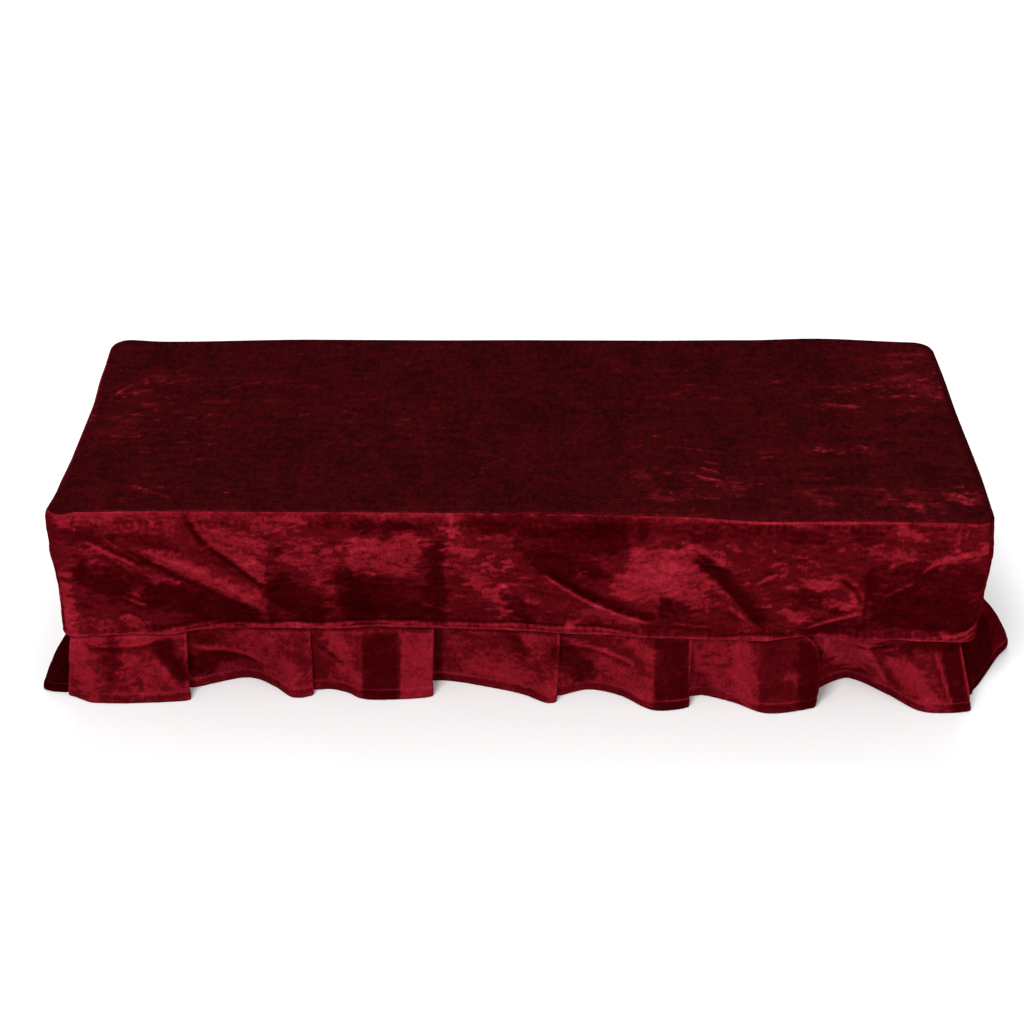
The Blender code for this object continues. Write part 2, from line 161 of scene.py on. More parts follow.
# How each side of the band hangs. rim, belly, waist and foot are its out at the top seam, a quarter and two
# thirds of the way down and at the skirt seam. lift raises the top seam and rise the skirt seam. The solids
# do without the front's lift, its row at -350 and the last millimetres of its two corners.
Hang = namedtuple("Hang", "along lift rim belly waist foot rise")
HANGS = by_side(
    Hang,
    front=(
        (-370, 0, 5.5, 5, 0.5, 0.5, 1.5), (-350, 0.8, 1.5, 2.5, -0.5, -1.5, 1.5),
        (-300, 1, 0, 1, -2, -6, 1), (-232, 1, 0, 0.5, -3, -12, 5), (-170, 1, 0, 1, -3, -13, 4),
        (-100, 1, 0, 1, -4, -15, 5), (-20, 1, 0, 0.5, -3, -13, 4), (50, 0.8, 0, 2, -1, -10, 2),
        (120, 0, 0, 2, 1, -6, 0), (200, 0, 0, 2, 0, -5, -1), (246, 0, 0, 1.5, 0, -5.5, 4),
        (280, 0, 0, 1, 0, -6, 0), (370, 0, 4, 6, 2.5, -2, 0),
    ),
    right=(
        (-170, 0, 4, 6, 2.5, -2, 0), (-80, 1, 5.5, 7, 9, 16, 1), (20, 2, 5, 6, 4, 4, 2),
        (115, 4, 5.5, 5, 1, -4, 1), (170, 5, 5, 4, 0, -6, 0),
    ),
    back=(
        (-370, 5, 5, 4, 0, -6, 0), (-272, 7, 8, 5, 0, -6, 0), (-205, 5, 8, 4, -2, -9, 3),
        (-115, 4.5, 7, 3, -2, -11, 4), (-10, 4.5, 6.5, 2, -1, -7, 0), (85, 4, 6, 3, -3, -12, 4),
        (190, 4, 6, 2, -2, -9, 2), (330, 2, 4, 2, -1, -6, -1), (370, 3.5, 4.5, 3, -2, -5, 0),
    ),
    left=(
        (-170, 3.5, 4.5, 3, -2, -5, 0), (-108, 2, 3.5, 1, -3, -8, 1), (-30, 1, 0.5, 0, -4, -9, 2),
        (60, 0, 1, 0, -3, -8, 1), (125, 0, 2.5, 2, -2, -6, 0), (170, 0, 5.5, 5, 0.5, 0.5, 1.5),
    ),
)
HANG_AT = (0.0, 0.25, 0.66, 1.0)

# Where the top seam lies on the rounded edge, in degrees: 0 is level with the top and 90 is upright
Seam = namedtuple("Seam", "along turn")
SEAMS = by_side(
    Seam,
    front=(
        (-370, 28), (-358, 18), (-100, 16), (-20, 18), (50, 22), (120, 30), (200, 72), (280, 64), (352, 56),
        (370, 70),
    ),
    right=((-170, 70), (-155, 70), (-120, 50), (170, 46)),
    back=((-370, 46), (-272, 52), (330, 52), (370, 46)),
    left=((-170, 46), (-30, 40), (110, 38), (154, 60), (170, 30)),
)

# Slack folds of the band: a soft ridge from one point to the other, its height and half width
Fold = namedtuple("Fold", "along drop along_end drop_end height spread")
FOLDS = by_side(
    Fold,
    front=(
        (-310, 36, -206, 92, 3, 15), (-262, 22, -205, 70, -2.5, 12), (12, 44, 112, 98, 3.2, 13),
        (118, 24, 122, 70, 3, 22), (137, 40, 198, 103, -3, 14), (212, 106, 278, 76, 2.6, 13),
        (300, 50, 350, 36, 1.8, 16), (-140, 30, -60, 46, 1.6, 16),
    ),
    right=((-120, 90, -40, 46, 2.6, 15), (40, 30, 100, 84, 2.4, 15)),
    back=(
        (-290, 44, -190, 92, 2.8, 15), (-60, 88, 40, 50, 2.6, 15), (140, 36, 240, 80, -2.6, 14),
        (260, 92, 320, 54, 2.4, 15),
    ),
    left=((-110, 40, -20, 84, 2.6, 15), (60, 92, 130, 50, 2.4, 15)),
)

# Low swells of the top, in X and Y
TOP_FOLDS = rows_of(
    Fold,
    (-352, 92, -262, 128, 1.3, 14), (-352, 48, -290, 82, 1.1, 12), (-300, -96, -215, -128, 1.2, 14),
    (110, -70, 152, -82, 1.4, 16), (96, -98, 150, -104, 1.3, 14), (200, 150, 330, 146, 1.2, 15),
    (-60, 96, 40, 108, 1, 18),
)

# Each face of a skirt strip, which ends in a folded edge. At the hem it comes out from under the last fold
# at enter, dips to hollow, passes mid, levels at shoulder and reaches its edge. fold_seam and fold_hem are
# where the edge stands, and tuck is how far the cloth turns back under it at the hem.
Face = namedtuple(
    "Face", "enter hollow_at hollow mid_at mid shoulder_at crest fold_seam fold_hem fold_out tuck"
)
FACES = by_side(
    Face,
    front=(
        (-2, -366, 0.5, -360, 4.5, -350, 9, -274, -272, 4.5, 9),
        (-17, -226, -33, -203, -18, -186, -1, -173, -171, -4, 7),
        (-14, -157, -15, -143, -10, -128, 0.5, -71, -72, -3.5, 9),
        (-30, -56, -29, 2, -9, 23, 5, 32, 30, 4.5, 8), (-7, 58, -17, 83, -8, 111, 15.5, 141, 139, 11, 9),
        (-7, 152, -9, 178, 3, 202, 19, 233, 243, 10, 2),
        (-19, 275, -38, 306, -12, 331, 15, 360, 370, 14, 9),
    ),
    right=(
        (1, -147, 8, -122, 21, -98, 34, -82, -80, 44, 9), (14, -50, -4, -24, 4, 4, 18, 28, 30, 18, 9),
        (-4, 60, -18, 92, -4, 128, 13, 160, 161, 14, 0),
    ),
    back=(
        (-2, -366, 1, -358, 6, -344, 13, -268, -268, 9, 9),
        (-12, -230, -28, -204, -12, -182, 6, -162, -160, 3, 8),
        (-20, -128, -30, -98, -12, -76, 8, -56, -58, 6, 9), (-12, -28, -20, 2, -8, 26, 10, 46, 46, 7, 9),
        (-24, 72, -33, 98, -16, 124, 4, 150, 151, 2, 8), (-16, 178, -24, 204, -8, 226, 14, 254, 256, 11, 9),
        (-14, 282, -26, 310, -6, 334, 14, 360, 369, 12, 9),
    ),
    left=(
        (2, -150, 4, -128, 10, -104, 20, -66, -66, 20, 9), (-14, -38, -26, -6, -12, 18, 8, 48, 47, 7, 9),
        (-18, 72, -24, 108, -6, 140, 17, 157, 160, 20, 0),
    ),
)

# Where a skirt strip bows sideways between seam and hem: its place, how far and how wide
Bow = namedtuple("Bow", "along shift spread")
BOWS = by_side(
    Bow,
    front=((236, 9, 17), (30, 1.5, 12)),
    right=(),
    back=((254, 6, 17),),
    left=(),
)

# The cloths' low unevenness: its height, its length across and down, and its seed
Uneven = namedtuple("Uneven", "height across down seed")
TOP_UNEVEN = rows_of(Uneven, (0.35, 70, 34, 11), (0.12, 22, 9, 12))
BAND_UNEVEN = rows_of(Uneven, (0.45, 46, 26, 41), (0.16, 17, 9, 42))
SKIRT_UNEVEN = rows_of(Uneven, (0.35, 30, 40, 71), (0.12, 10, 14, 72))

# How the edges of strokes of nap wander along and down, with seeds that are added to the strokes' own
WANDER_ALONG = rows_of(Uneven, (2.8, 22, 9, 0), (2.4, 26, 3.4, 2))
WANDER_DOWN = rows_of(Uneven, (2.0, 18, 8, 1), (0.7, 5, 5, 3))

# A point of a skirt strip's course: its place at the seam and at the hem
Key = namedtuple("Key", "seam_along seam_out hem_along hem_out")

# Sharp creases. bow bends the line to its lower side, height is that of its ridge or, negative, its trough,
# above and below are its half widths on its upper and lower sides. glint is the painted highlight on the
# line, painted shade where it is negative, and over and under are the painted highlight and shade beside it
# on those two sides, likewise by their sign.
Crease = namedtuple(
    "Crease", "along drop along_end drop_end bow height above below glint over under", defaults=(0, 0)
)
BAND_CREASES = by_side(
    Crease,
    front=(
        (-326, 28, -203, 94, 1, -2.6, 6, 5, -0.34, 0.14, -0.2),
        (-351, 23, -306, 49, 0, 0.7, 2.5, 3, 0.36, -0.06, -0.1),
        (-336, 20, -300, 44, 1, 0.4, 2, 3, 0.28, -0.05, -0.05),
        (-334, 34, -308, 53, 1, 0.4, 2, 3, 0.26, 0, -0.06),
        (-268, -2, -251, 30, 2, -1.4, 4, 3, -0.36, 0.06, -0.06),
        (-253, 28, -207, 68, -1, -2, 4, 5, -0.5, 0.18, -0.1),
        (-288, 40, -226, 70, -2, 1, 4, 5, 0.12, 0.04, 0.06),
        (-324, 73, -300, 84, 1, 0.7, 2.5, 3, 0.38, -0.12, -0.1),
        (-328, 94, -307, 97, -2, 0.6, 2, 3, 0.32, -0.14, 0.08),
        (-308, 111, -240, 96, 0, 0.9, 3, 4, 0.2, -0.24, 0.06),
        (-240, 96, -180, 109, 0, 0.7, 3, 3, 0.16, -0.18, 0.04),
        (15, 49, 112, 99, 7, 2, 4.5, 8, 0.56, -0.5, 0.06),
        (132, 31, 201, 106, -3, -2.2, 6, 5, -0.36, -0.24, 0.1),
        (138, 26, 172, 44, 2, 0.8, 4, 3, 0.16, 0, -0.12), (144, 42, 166, 47, 1, -0.7, 3, 3, -0.24, 0, 0.1),
        (168, 80, 186, 96, 0, 0.6, 2, 3, 0.26, 0, -0.06),
        (188, 62, 209, 52, -1, 0.8, 3, 3, 0.34, -0.1, -0.08),
        (254, 54, 276, 79, -4, -1, 3, 3, -0.3, 0.12, 0.12),
        (229, 103, 279, 87, -2, 1.3, 4, 3, 0.44, -0.1, -0.2),
        (291, 73, 318, 57, 0, 0.6, 2.5, 3, 0.28, -0.06, -0.06),
        (320, 51, 337, 37, 0, 0.7, 3, 3, 0.36, 0, -0.12), (335, 37, 362, 33, 0, 0.6, 3, 3, 0.3, 0.04, -0.1),
        (340, 108, 376, 92, 6, 1.6, 3, 3, 0.4, -0.14, -0.1), (346, 112, 376, 99, 5, 0.9, 2, 2, 0.24, -0.1),
        (-12, 60, 16, 63, 1, 0.5, 2, 2, 0.18, -0.05, -0.05), (1, 75, 18, 80, 1, 0.5, 2, 2, 0.18, 0, -0.05),
        (-20, 28, 4, 24, 1, 0.4, 2, 2, 0.1), (-136, 30, -92, 27, 1, 0.5, 2, 3, 0.14, 0, -0.06),
        (-206, 101, -140, 103, -1, 0.8, 2, 3, 0.1), (60, 70, 96, 64, 2, 0.4, 2, 3, 0.1, 0, -0.05),
        (120, 96, 160, 100, 1, 0.5, 2, 2, 0.16, -0.06, -0.06),
        (200, 30, 236, 36, 2, 0.4, 2, 3, 0.12, 0, -0.05),
    ),
    right=(
        (-135, 88, -36, 44, -3, 1, 4, 6, 0.18, -0.16), (38, 26, 104, 86, 4, -1.2, 6, 4, -0.1, 0.1),
        (-20, 96, 40, 84, 2, 0.7, 3, 4, 0.16, -0.1),
    ),
    back=(
        (-292, 42, -188, 92, 4, 1.2, 4, 7, 0.2, -0.2), (-62, 90, 42, 48, -4, 1.1, 4, 6, 0.18, -0.16),
        (138, 34, 244, 82, 3, -1.4, 7, 4, -0.1, 0.12), (256, 94, 324, 52, -2, 0.9, 3, 5, 0.18, -0.12),
        (-180, 22, -132, 48, 2, -0.9, 4, 3, -0.12), (60, 92, 110, 84, 1, 0.6, 3, 3, 0.14, -0.08),
    ),
    left=(
        (-112, 38, -16, 86, 3, 1.1, 4, 6, 0.2, -0.18), (58, 94, 134, 48, -3, 1, 4, 5, 0.18, -0.14),
        (-60, 20, -24, 44, 2, -0.8, 4, 3, -0.12),
    ),
)
TOP_CREASES = rows_of(
    Crease,
    (-365, 34, -343, 82, -2, 0.8, 3, 3, 0.28, -0.1), (-358, 55, -336, 61, 1, 0.6, 3, 3, 0.3, -0.06),
    (-336, 94, -296, 101, 1, 0.5, 3, 3, 0.2), (-262, 69, -228, 88, -1, 0.7, 3, 3, 0.34, -0.06),
    (-228, 88, -196, 91, 1, 0.5, 3, 3, 0.24), (-320, -123, -275, -150, 1, 0.7, 3, 3, 0.34, -0.08),
    (117, -42, 178, -60, -1, 0.9, 3, 3, 0.4, -0.08), (149, -72, 166, -80, 0, 0.9, 3, 3, 0.5, -0.1),
    (145, -86, 166, -95, 1, 0.9, 3, 3, 0.62, -0.12), (141, -99, 167, -110, 2, 0.9, 3, 3, 0.62, -0.12),
    (262, 47, 304, 37, 0, 0.5, 3, 3, 0.3, -0.04), (128, 60, 156, 80, 0, 0.5, 3, 3, 0.26),
    (279, -34, 295, -48, 0, 0.5, 3, 3, 0.26), (197, -68, 215, -62, 0, 0.5, 3, 3, 0.3),
    (346, -128, 371, -148, 0, 0.6, 3, 3, 0.4, -0.06), (-160, 27, -138, 15, 0, 0.5, 3, 3, 0.26),
    (-79, 45, -71, 16, 0, 0.5, 3, 3, 0.22),
)
SKIRT_CREASES = by_side(
    Crease,
    front=(
        (34, 8, 98, 25, -2, 0.8, 3, 3, 0.38, -0.1, -0.16), (34, 5, 60, 8, 0, 0.4, 2, 2.5, 0.14),
        (339, 6, 355, 52, 0, 0.6, 2, 2, 0.4, -0.05, -0.16), (360, 2, 370, 50, 0, 0, 2, 2, 0.5),
        (282, 1, 309, 49, 2, 0.9, 4, 5, 0.34, -0.06, 0.1), (296, 14, 313, 5, 0, 0.4, 2, 2, 0.3),
        (-306, 4, -274, 44, 0, -0.9, 6, 4, -0.12, -0.22, 0.14),
        (-271, 17, -212, 36, -4, 0.9, 3, 3, 0.24, 0.06, -0.24),
        (-170, 10, -142, 32, 1, -0.5, 3, 3, -0.2, 0.05, 0.06),
        (146, 18, 172, 14, 0, -0.35, 2, 2, -0.12, 0.04), (144, 26, 176, 24, 0, -0.35, 2, 2, -0.12, 0.04),
        (-46, 36, -8, 40, 1, 0.4, 2, 3, 0.12, -0.05),
    ),
    right=((-20, 14, 14, 44, 2, 0.6, 4, 4, 0.16, -0.1),),
    back=(
        (-250, 12, -200, 36, 2, 0.6, 4, 4, 0.18, -0.1), (20, 30, 44, 8, 1, 0.6, 3, 4, 0.16, -0.1),
        (212, 10, 246, 40, 2, -0.7, 4, 4, -0.1, 0.1),
    ),
    left=((-30, 10, 30, 38, 2, 0.6, 4, 4, 0.16, -0.1),),
)

# Places that look brighter or darker than round about, partly patches of the pile and partly painted
# highlights and shade of folds and creases: a stroke between two points, its half width and its tone
Mark = namedtuple("Mark", "along drop along_end drop_end width tone")
BAND_MARKS = rows_of(
    Mark,
    (-364, 10, -330, 7, 3, 0.16), (-362, 21, -330, 24, 8, -0.16), (-325, 13, -280, 12, 6, 0.1),
    (-310, 23, -285, 27, 6, -0.12), (-353, 28, -340, 34, 4, 0.16), (-367, 70, -366, 110, 5, 0.26),
    (-350, 54, -326, 70, 12, -0.24), (-326, 60, -300, 76, 12, -0.12), (-298, 54, -286, 62, 4, 0.14),
    (-292, 74, -226, 92, 11, -0.26), (-318, 98, -307, 104, 5, 0.22), (-362, 98, -335, 106, 8, 0.12),
    (-284, 40, -216, 70, 8, 0.12), (-244, 22, -208, 28, 9, 0.18), (-226, 42, -208, 54, 9, 0.22),
    (-209, 10, -178, 8, 6, 0.2), (-192, 23, -160, 25, 6, 0.13), (-186, 38, -150, 44, 6, 0.2),
    (-203, 32, -191, 34, 4, -0.2), (-194, 66, -170, 86, 14, -0.3), (-164, 54, -150, 66, 8, 0.14),
    (-141, 62, -128, 92, 13, -0.28), (-152, 6, -128, 8, 7, -0.15), (-130, 10, -72, 11, 4, -0.22),
    (-132, 29, -86, 31, 8, 0.26), (-134, 45, -92, 47, 7, 0.18), (-91, 18, -78, 23, 4, 0.28),
    (-68, 30, -67, 92, 7, -0.26), (-126, 72, -84, 80, 17, -0.24), (-56, 0, -55, 16, 4, 0.32),
    (-57, 28, -38, 34, 4, 0.28), (-52, 44, -32, 58, 8, 0.14), (-36, 61, -20, 74, 5, 0.22),
    (-21, 74, -14, 90, 5, 0.22), (-12, 20, 14, 22, 4, 0.1), (-34, 7, 96, 10, 9, -0.22),
    (8, 26, 74, 20, 13, -0.26), (20, 44, 60, 50, 10, -0.26), (-10, 42, -9, 47, 3, 0.36),
    (49, 52, 50, 54, 3, 0.34), (8, 89, 16, 92, 3, 0.2), (-3, 80, 8, 92, 8, -0.16),
    (84, 63, 112, 64, 11, 0.26), (90, 50, 124, 50, 11, 0.24), (99, 38, 134, 38, 10, 0.26),
    (102, 38, 109, 44, 2.5, -0.2), (118, 54, 142, 60, 12, 0.24), (124, 68, 152, 78, 7, 0.18),
    (118, 82, 136, 86, 5, -0.18), (60, 88, 92, 94, 5, 0.18), (136, 29, 160, 40, 6, 0.18),
    (148, 45, 164, 48, 3, -0.22), (338, 108, 362, 107, 3, 0.26), (362, 107, 372, 96, 3, 0.24),
    (140, 14, 282, 18, 7, -0.12), (246, 16, 262, 20, 4, 0.14), (230, 58, 252, 62, 4, 0.3),
    (252, 77, 269, 81, 4, 0.36), (217, 86, 226, 93, 4, 0.32), (228, 72, 250, 79, 7, -0.18),
    (232, 104, 276, 99, 4, -0.2), (285, 29, 306, 36, 6, 0.2), (304, 11, 321, 18, 4, 0.3),
    (328, 42, 360, 34, 4, 0.22), (371, 26, 377, 50, 4, 0.22), (290, 60, 356, 60, 17, -0.2),
    (298, 86, 362, 90, 15, -0.24), (290, 13, 352, 14, 6, 0.08),
)
SKIRT_MARKS = rows_of(
    Mark,
    (-366, 10, -353, 44, 10, 0.14), (-334, 6, -333, 30, 7, -0.2), (-335, 8, -334, 24, 4, -0.14),
    (-328, 16, -310, 42, 10, 0.12), (-313, 30, -312, 42, 3, -0.2), (-292, 10, -276, 34, 6, -0.2),
    (-368, 3, -280, 1, 5, 0.12), (-270, 5, -256, 10, 6, -0.2), (-267, 27, -240, 30, 5, -0.26),
    (-268, 38, -254, 38, 6, -0.28), (-224, 12, -196, 34, 13, 0.12), (-195, 18, -180, 23, 5, -0.12),
    (-168, 8, -165, 46, 6, -0.14), (-155, 8, -138, 38, 8, 0.15), (-50, 20, -15, 30, 14, 0.06),
    (-8, 4, 3, 16, 7, -0.2), (-45, 34, 24, 42, 7, 0.15), (8, 5, 10, 20, 4, 0.12),
    (36, 16, 50, 34, 10, -0.26), (72, 24, 100, 40, 11, 0.16), (94, 6, 104, 14, 6, 0.14),
    (148, 10, 176, 36, 15, 0.1), (182, 8, 186, 46, 9, 0.18), (221, 28, 228, 32, 4, 0.2),
    (256, 2, 278, 26, 14, 0.42), (296, 5, 352, 3, 4, -0.28), (300, 12, 318, 12, 5, -0.16),
    (312, 22, 334, 42, 10, 0.22),
)
TOP_MARKS = rows_of(
    Mark,
    (98, -98, 112, -144, 7, 0.22), (112, -142, 176, -128, 9, 0.2), (100, -96, 172, -106, 9, 0.12),
    (330, 150, 356, 40, 34, 0.05), (336, 150, 360, 30, 24, 0.05), (350, 140, 364, 30, 15, 0.06),
    (354, 84, 366, 50, 8, 0.1), (131, 63, 149, 53, 5, 0.2), (245, 90, 300, 76, 6, 0.14),
    (268, 44, 288, 36, 5, 0.2), (200, -70, 224, 5, 8, 0.12), (253, -45, 300, -50, 7, 0.14),
    (-340, -166, 345, -166, 6, 0.06), (341, -124, 360, -150, 4.5, 0.32), (358, -150, 375, -138, 5, 0.32),
    (300, -148, 338, -160, 8, 0.16), (280, 85, 350, 95, 7, 0.12), (252, 79, 322, 92, 3.5, 0.15),
    (159, 58, 201, 51, 4, 0.18), (231, -57, 252, -42, 5, 0.18), (162, -117, 179, -121, 5, 0.26),
    (232, -132, 247, -148, 8, 0.28), (281, -157, 300, -134, 4, 0.32), (313, -152, 322, -157, 4, 0.34),
    (307, -26, 343, -30, 5, 0.17), (318, 28, 341, 28, 4, 0.18), (336, -66, 368, -80, 7, 0.14),
    (-352, -40, -340, 50, 18, 0.12), (-360, 60, -330, 110, 9, 0.16), (-367, -132, -366, -116, 5, -0.15),
    (-330, 84, -200, 96, 9, 0.1), (-112, 0, -76, -44, 7, 0.1), (-40, -54, -29, -63, 5, 0.24),
    (-60, 40, 60, 20, 40, -0.08), (-230, -60, -60, -70, 24, -0.05), (-350, 176, 350, 176, 2, -0.14),
)

# How many seeded strokes of nap, and as many small creases, a side has that is out of the photograph's view
BAND_STROKES = {"right": 16, "back": 34, "left": 16}
SKIRT_STROKES = {"right": 12, "back": 26, "left": 12}

# Where short bright dashes of nap gather, and the top's long faint ones: the middle, how far they spread
# and how many there are
Cluster = namedtuple("Cluster", "along drop across down count")
TOP_CLUSTERS = rows_of(
    Cluster,
    (0, 0, 300, 110, 150), (-320, 70, 30, 30, 30), (-300, -10, 45, 40, 56), (-345, -95, 18, 40, 10),
    (-206, 84, 36, 8, 8), (-139, 12, 40, 22, 16), (-42, -62, 26, 18, 10), (145, 62, 26, 12, 8),
    (150, -100, 26, 16, 22), (120, -130, 36, 14, 22), (248, -50, 40, 12, 16), (290, 52, 36, 10, 12),
    (350, 84, 16, 40, 34), (335, -135, 34, 16, 34), (230, -145, 60, 10, 14), (-200, -120, 80, 30, 14),
)
TOP_STREAK_CLUSTERS = rows_of(
    Cluster,
    (0, 0, 300, 110, 120), (-310, 0, 50, 90, 44), (-120, 60, 120, 50, 30), (250, -60, 60, 30, 26),
    (320, 60, 40, 50, 34), (270, -140, 70, 14, 30),
)
BAND_CLUSTERS = rows_of(
    Cluster,
    (-330, 40, 24, 22, 22), (-150, 30, 30, 14, 16), (-30, 56, 22, 22, 26), (180, 46, 34, 24, 34),
    (250, 70, 22, 16, 24), (330, 34, 26, 12, 22), (40, 90, 40, 10, 12),
)

# Those dashes: their steepest slope, and the least and most of their length, half width and tone
Dash = namedtuple("Dash", "slope runs widths tones")
TOP_DASH = Dash(0.4, (1, 9), (1.1, 2.2), (0.08, 0.32))
TOP_STREAK = Dash(0.06, (15, 70), (2, 6), (0.03, 0.1))
BAND_DASH = Dash(0.5, (1, 9), (1.1, 2.2), (0.08, 0.32))

# Upright marks where the cover lay folded, from one drop to another: the tone on their left and on their
# right, and how far away it has faded
Press = namedtuple("Press", "along drop drop_end left right")
PRESSES = rows_of(
    Press,
    (-205, 36, 106, 0.08, -0.12), (-61, 16, 104, -0.1, 0.04), (113, 64, 102, 0.1, -0.12),
    (278, 44, 106, 0.1, -0.12),
)
PRESS_FADE = 16.0

# Upright faces of the skirt, most painted darker as shade and a few lighter as lit faces, with clean edges.
# lean moves them along at the hem.
Panel = namedtuple("Panel", "along along_end lean tone")
SKIRT_PANELS = by_side(
    Panel,
    front=(
        (-129, -99, 0, -0.3), (-99, -73, 0, 0.16), (-71, -64, 0, -0.2), (111, 139, 0, -0.3),
        (197, 228, -1, -0.16), (228, 250, 0, -0.34), (343, 361, 11, -0.3),
    ),
    right=((-200, -104, -8, -0.36), (-50, -26, 0, -0.2), (70, 98, 0, 0.16)),
    back=((-190, -164, 0, -0.24), (20, 44, 0, 0.14), (226, 250, 0, -0.24)),
    left=((96, 200, 8, -0.62), (14, 46, 0, -0.2)),
)

# Where the seam allowances show as a low raised strip: from and to along a side, its depth and its height.
# The band's strip stands above the skirt seam and the skirt's hangs below it.
Strip = namedtuple("Strip", "along along_end depth height")
BAND_STRIPS = by_side(
    Strip,
    front=((-280, -50, 7, 0.8), (-120, 110, 8, 1.1), (150, 235, 6, 0.7)),
    right=((-60, 90, 7, 0.8),),
    back=((-330, -120, 7, 0.8), (-20, 250, 8, 1)),
    left=((-120, 40, 7, 0.8),),
)
SKIRT_STRIPS = by_side(
    Strip,
    front=((-372, -276, 9, 0.7), (240, 330, 9, 0.8)),
    right=((20, 140, 8, 0.7),),
    back=((-110, -20, 8, 0.7), (260, 360, 9, 0.7)),
    left=((40, 150, 8, 0.7),),
)

# Painted highlight and shade along the top seam, and their places along each side
Rim = namedtuple("Rim", "along tone")
RIMS = by_side(
    Rim,
    front=(
        (-372, 0), (-352, 0.16), (-250, 0.08), (-205, -0.02), (-100, 0.06), (10, 0), (60, -0.08),
        (130, -0.04), (190, 0.2), (232, 0.3), (280, 0.08), (350, 0.04), (372, -0.1),
    ),
    right=((-170, -0.3), (170, -0.45)),
    back=((-370, 0), (0, 0.1), (370, 0)),
    left=((-120, 0.1), (20, -0.16), (170, -0.05)),
)

# The tone before its marks, with painted shade in it: the top is darker than the band and the skirt, the
# right and left sides are darker than the front, and the top's right edge is darker still.
TOP_TONE = 0.045
TOP_RIGHT_EDGE_SHADE = -0.4
BAND_TONE = {"front": 0.47, "right": 0.36, "back": 0.46, "left": 0.42}
SKIRT_TONE = {"front": 0.56, "right": 0.36, "back": 0.48, "left": 0.38}

# What the seams add to the tone: a painted highlight on a seam and more of it under a raised strip, a
# painted highlight on a strip's edge and the painted shade beyond it, and the painted shade on the skirt
# under the band
SEAM_SHINE = 0.2
COVERED_SHINE = 0.3
STRIP_SHINE = 0.42
STRIP_SHADE = -0.24
SKIRT_SEAM_SHADE = -0.12

# The painted highlight on the hem's sewn line, how much that varies, and the painted shade below it
HEM_SHINE = 0.46
HEM_UNEVEN = 0.2
HEM_SHADE = -0.14

# How far beyond the middle tone a sum of marks can go, so that none blows out
TONE_MIDDLE = 0.45
TONE_REACH = 0.42

# The half width of the painted bright line on a crease, wider on the top, which is seen at a lower angle
GLINT_WIDTH = 1.5
TOP_GLINT_WIDTH = 2.4

# Painted highlight on ridges and painted shade in troughs: the most that a ridge adds to the tone, and how
# soon with the bend per millimetre
BEND_SHADING = 0.26
RIDGE_BEND = 3.0

# How much lower a place of the band looks on the photograph for each millimetre that it stands out
LOOK_DOWN = 0.54

# Streaks of nap laid over that tone: how many to a metre across and down the cloth, their strength and
# their detail. The layer numbered PILE_LAYER and the next one also raise the pile.
Layer = namedtuple("Layer", "across down strength detail")
TOP_LAYERS = rows_of(Layer, (28, 11, 0.2, 4), (60, 110, 0.2, 3), (420, 380, 0.24, 3), (210, 100, 0.3, 4))
BAND_LAYERS = rows_of(Layer, (24, 28, 0.18, 4), (70, 110, 0.19, 3), (260, 260, 0.24, 3), (900, 560, 0.2, 2))
SKIRT_LAYERS = rows_of(
    Layer,
    (24, 28, 0.15, 4), (70, 100, 0.16, 3), (260, 240, 0.2, 3), (900, 560, 0.18, 2),
)
PILE_LAYER = 2

# Small bright specks of the top, painted glints: their layer, which has no strength of its own, the noise
# at which they begin and at which they are full, and their tone
SPOT_LAYER = Layer(170, 330, 0, 2)
SPOT_FROM = 0.62
SPOT_FULL = 0.8
TOP_SPOTS = 0.5

# The streaks come from one long cloth: where on it the bands and the skirts lie, and how much further on
# for each degree that their side is turned
BAND_STRETCH = 900
SKIRT_STRETCH = 5000
STRETCH_PER_DEGREE = 4

# The sheen of each velvet, and the top's painted sheen: a grey added to its colours
SHEEN = {"top": 0.0, "band": 0.04, "skirt": 0.05}
TOP_PAINTED_SHEEN = 0.0012

# Colours from the darkest tone to the brightest
TONE_COLOURS = (
    (0.0, (0.016, 0.0001, 0.0005)),
    (0.25, (0.034, 0.0006, 0.0014)),
    (0.5, (0.072, 0.0020, 0.0040)),
    (0.75, (0.185, 0.0064, 0.0130)),
    (0.9, (0.272, 0.0130, 0.0260)),
    (1.0, (0.350, 0.0220, 0.0440)),
)
BACKING_COLOURS = ((0.0, (0.045, 0.001, 0.005)), (1.0, (0.120, 0.003, 0.014)))
THREAD_COLOURS = ((0.0, (0.06, 0.002, 0.006)), (1.0, (0.15, 0.007, 0.018)))

# Area lights that face the origin: place and size in metres, and power in watts
Lamp = namedtuple("Lamp", "name place size power")
LAMPS = rows_of(
    Lamp,
    ("key", (-0.7, -1.9, 2.2), 1.0, 62), ("fill", (1.8, -1.8, 1.2), 1.6, 20),
    ("rear", (0.2, 3.2, 3.0), 3.0, 120),
)

# How far the floor lies under the hem, in metres
FLOOR_GAP = 0.0005


def ease(share):
    """A smooth step from 0 to 1."""
    share = np.clip(share, 0.0, 1.0)
    return share * share * (3 - 2 * share)


def within(at, low, high, fade):
    """1 between two places, easing to 0 over the last stretch before each."""
    return ease((at - low) / fade) * ease((high - at) / fade)


def bell(away, width):
    """1 at no distance away, and nearly 0 at twice the width."""
    return np.exp(-(away / width) ** 2)


def eased(places, values, at):
    """Values at places, eased from each to the next."""
    total = values[0]
    for low, high, value, next_value in zip(places, places[1:], values, values[1:]):
        total = total + (next_value - value) * ease((at - low) / (high - low))
    return total


def between(rows, at, column):
    """A table's column at any place along it."""
    return eased([row.along for row in rows], [getattr(row, column) for row in rows], at)


def hang(side, along, share):
    """The band's out at a share of its height below the top seam."""
    outs = [between(HANGS[side], along, column) for column in ("rim", "belly", "waist", "foot")]
    return eased(HANG_AT, outs, share)


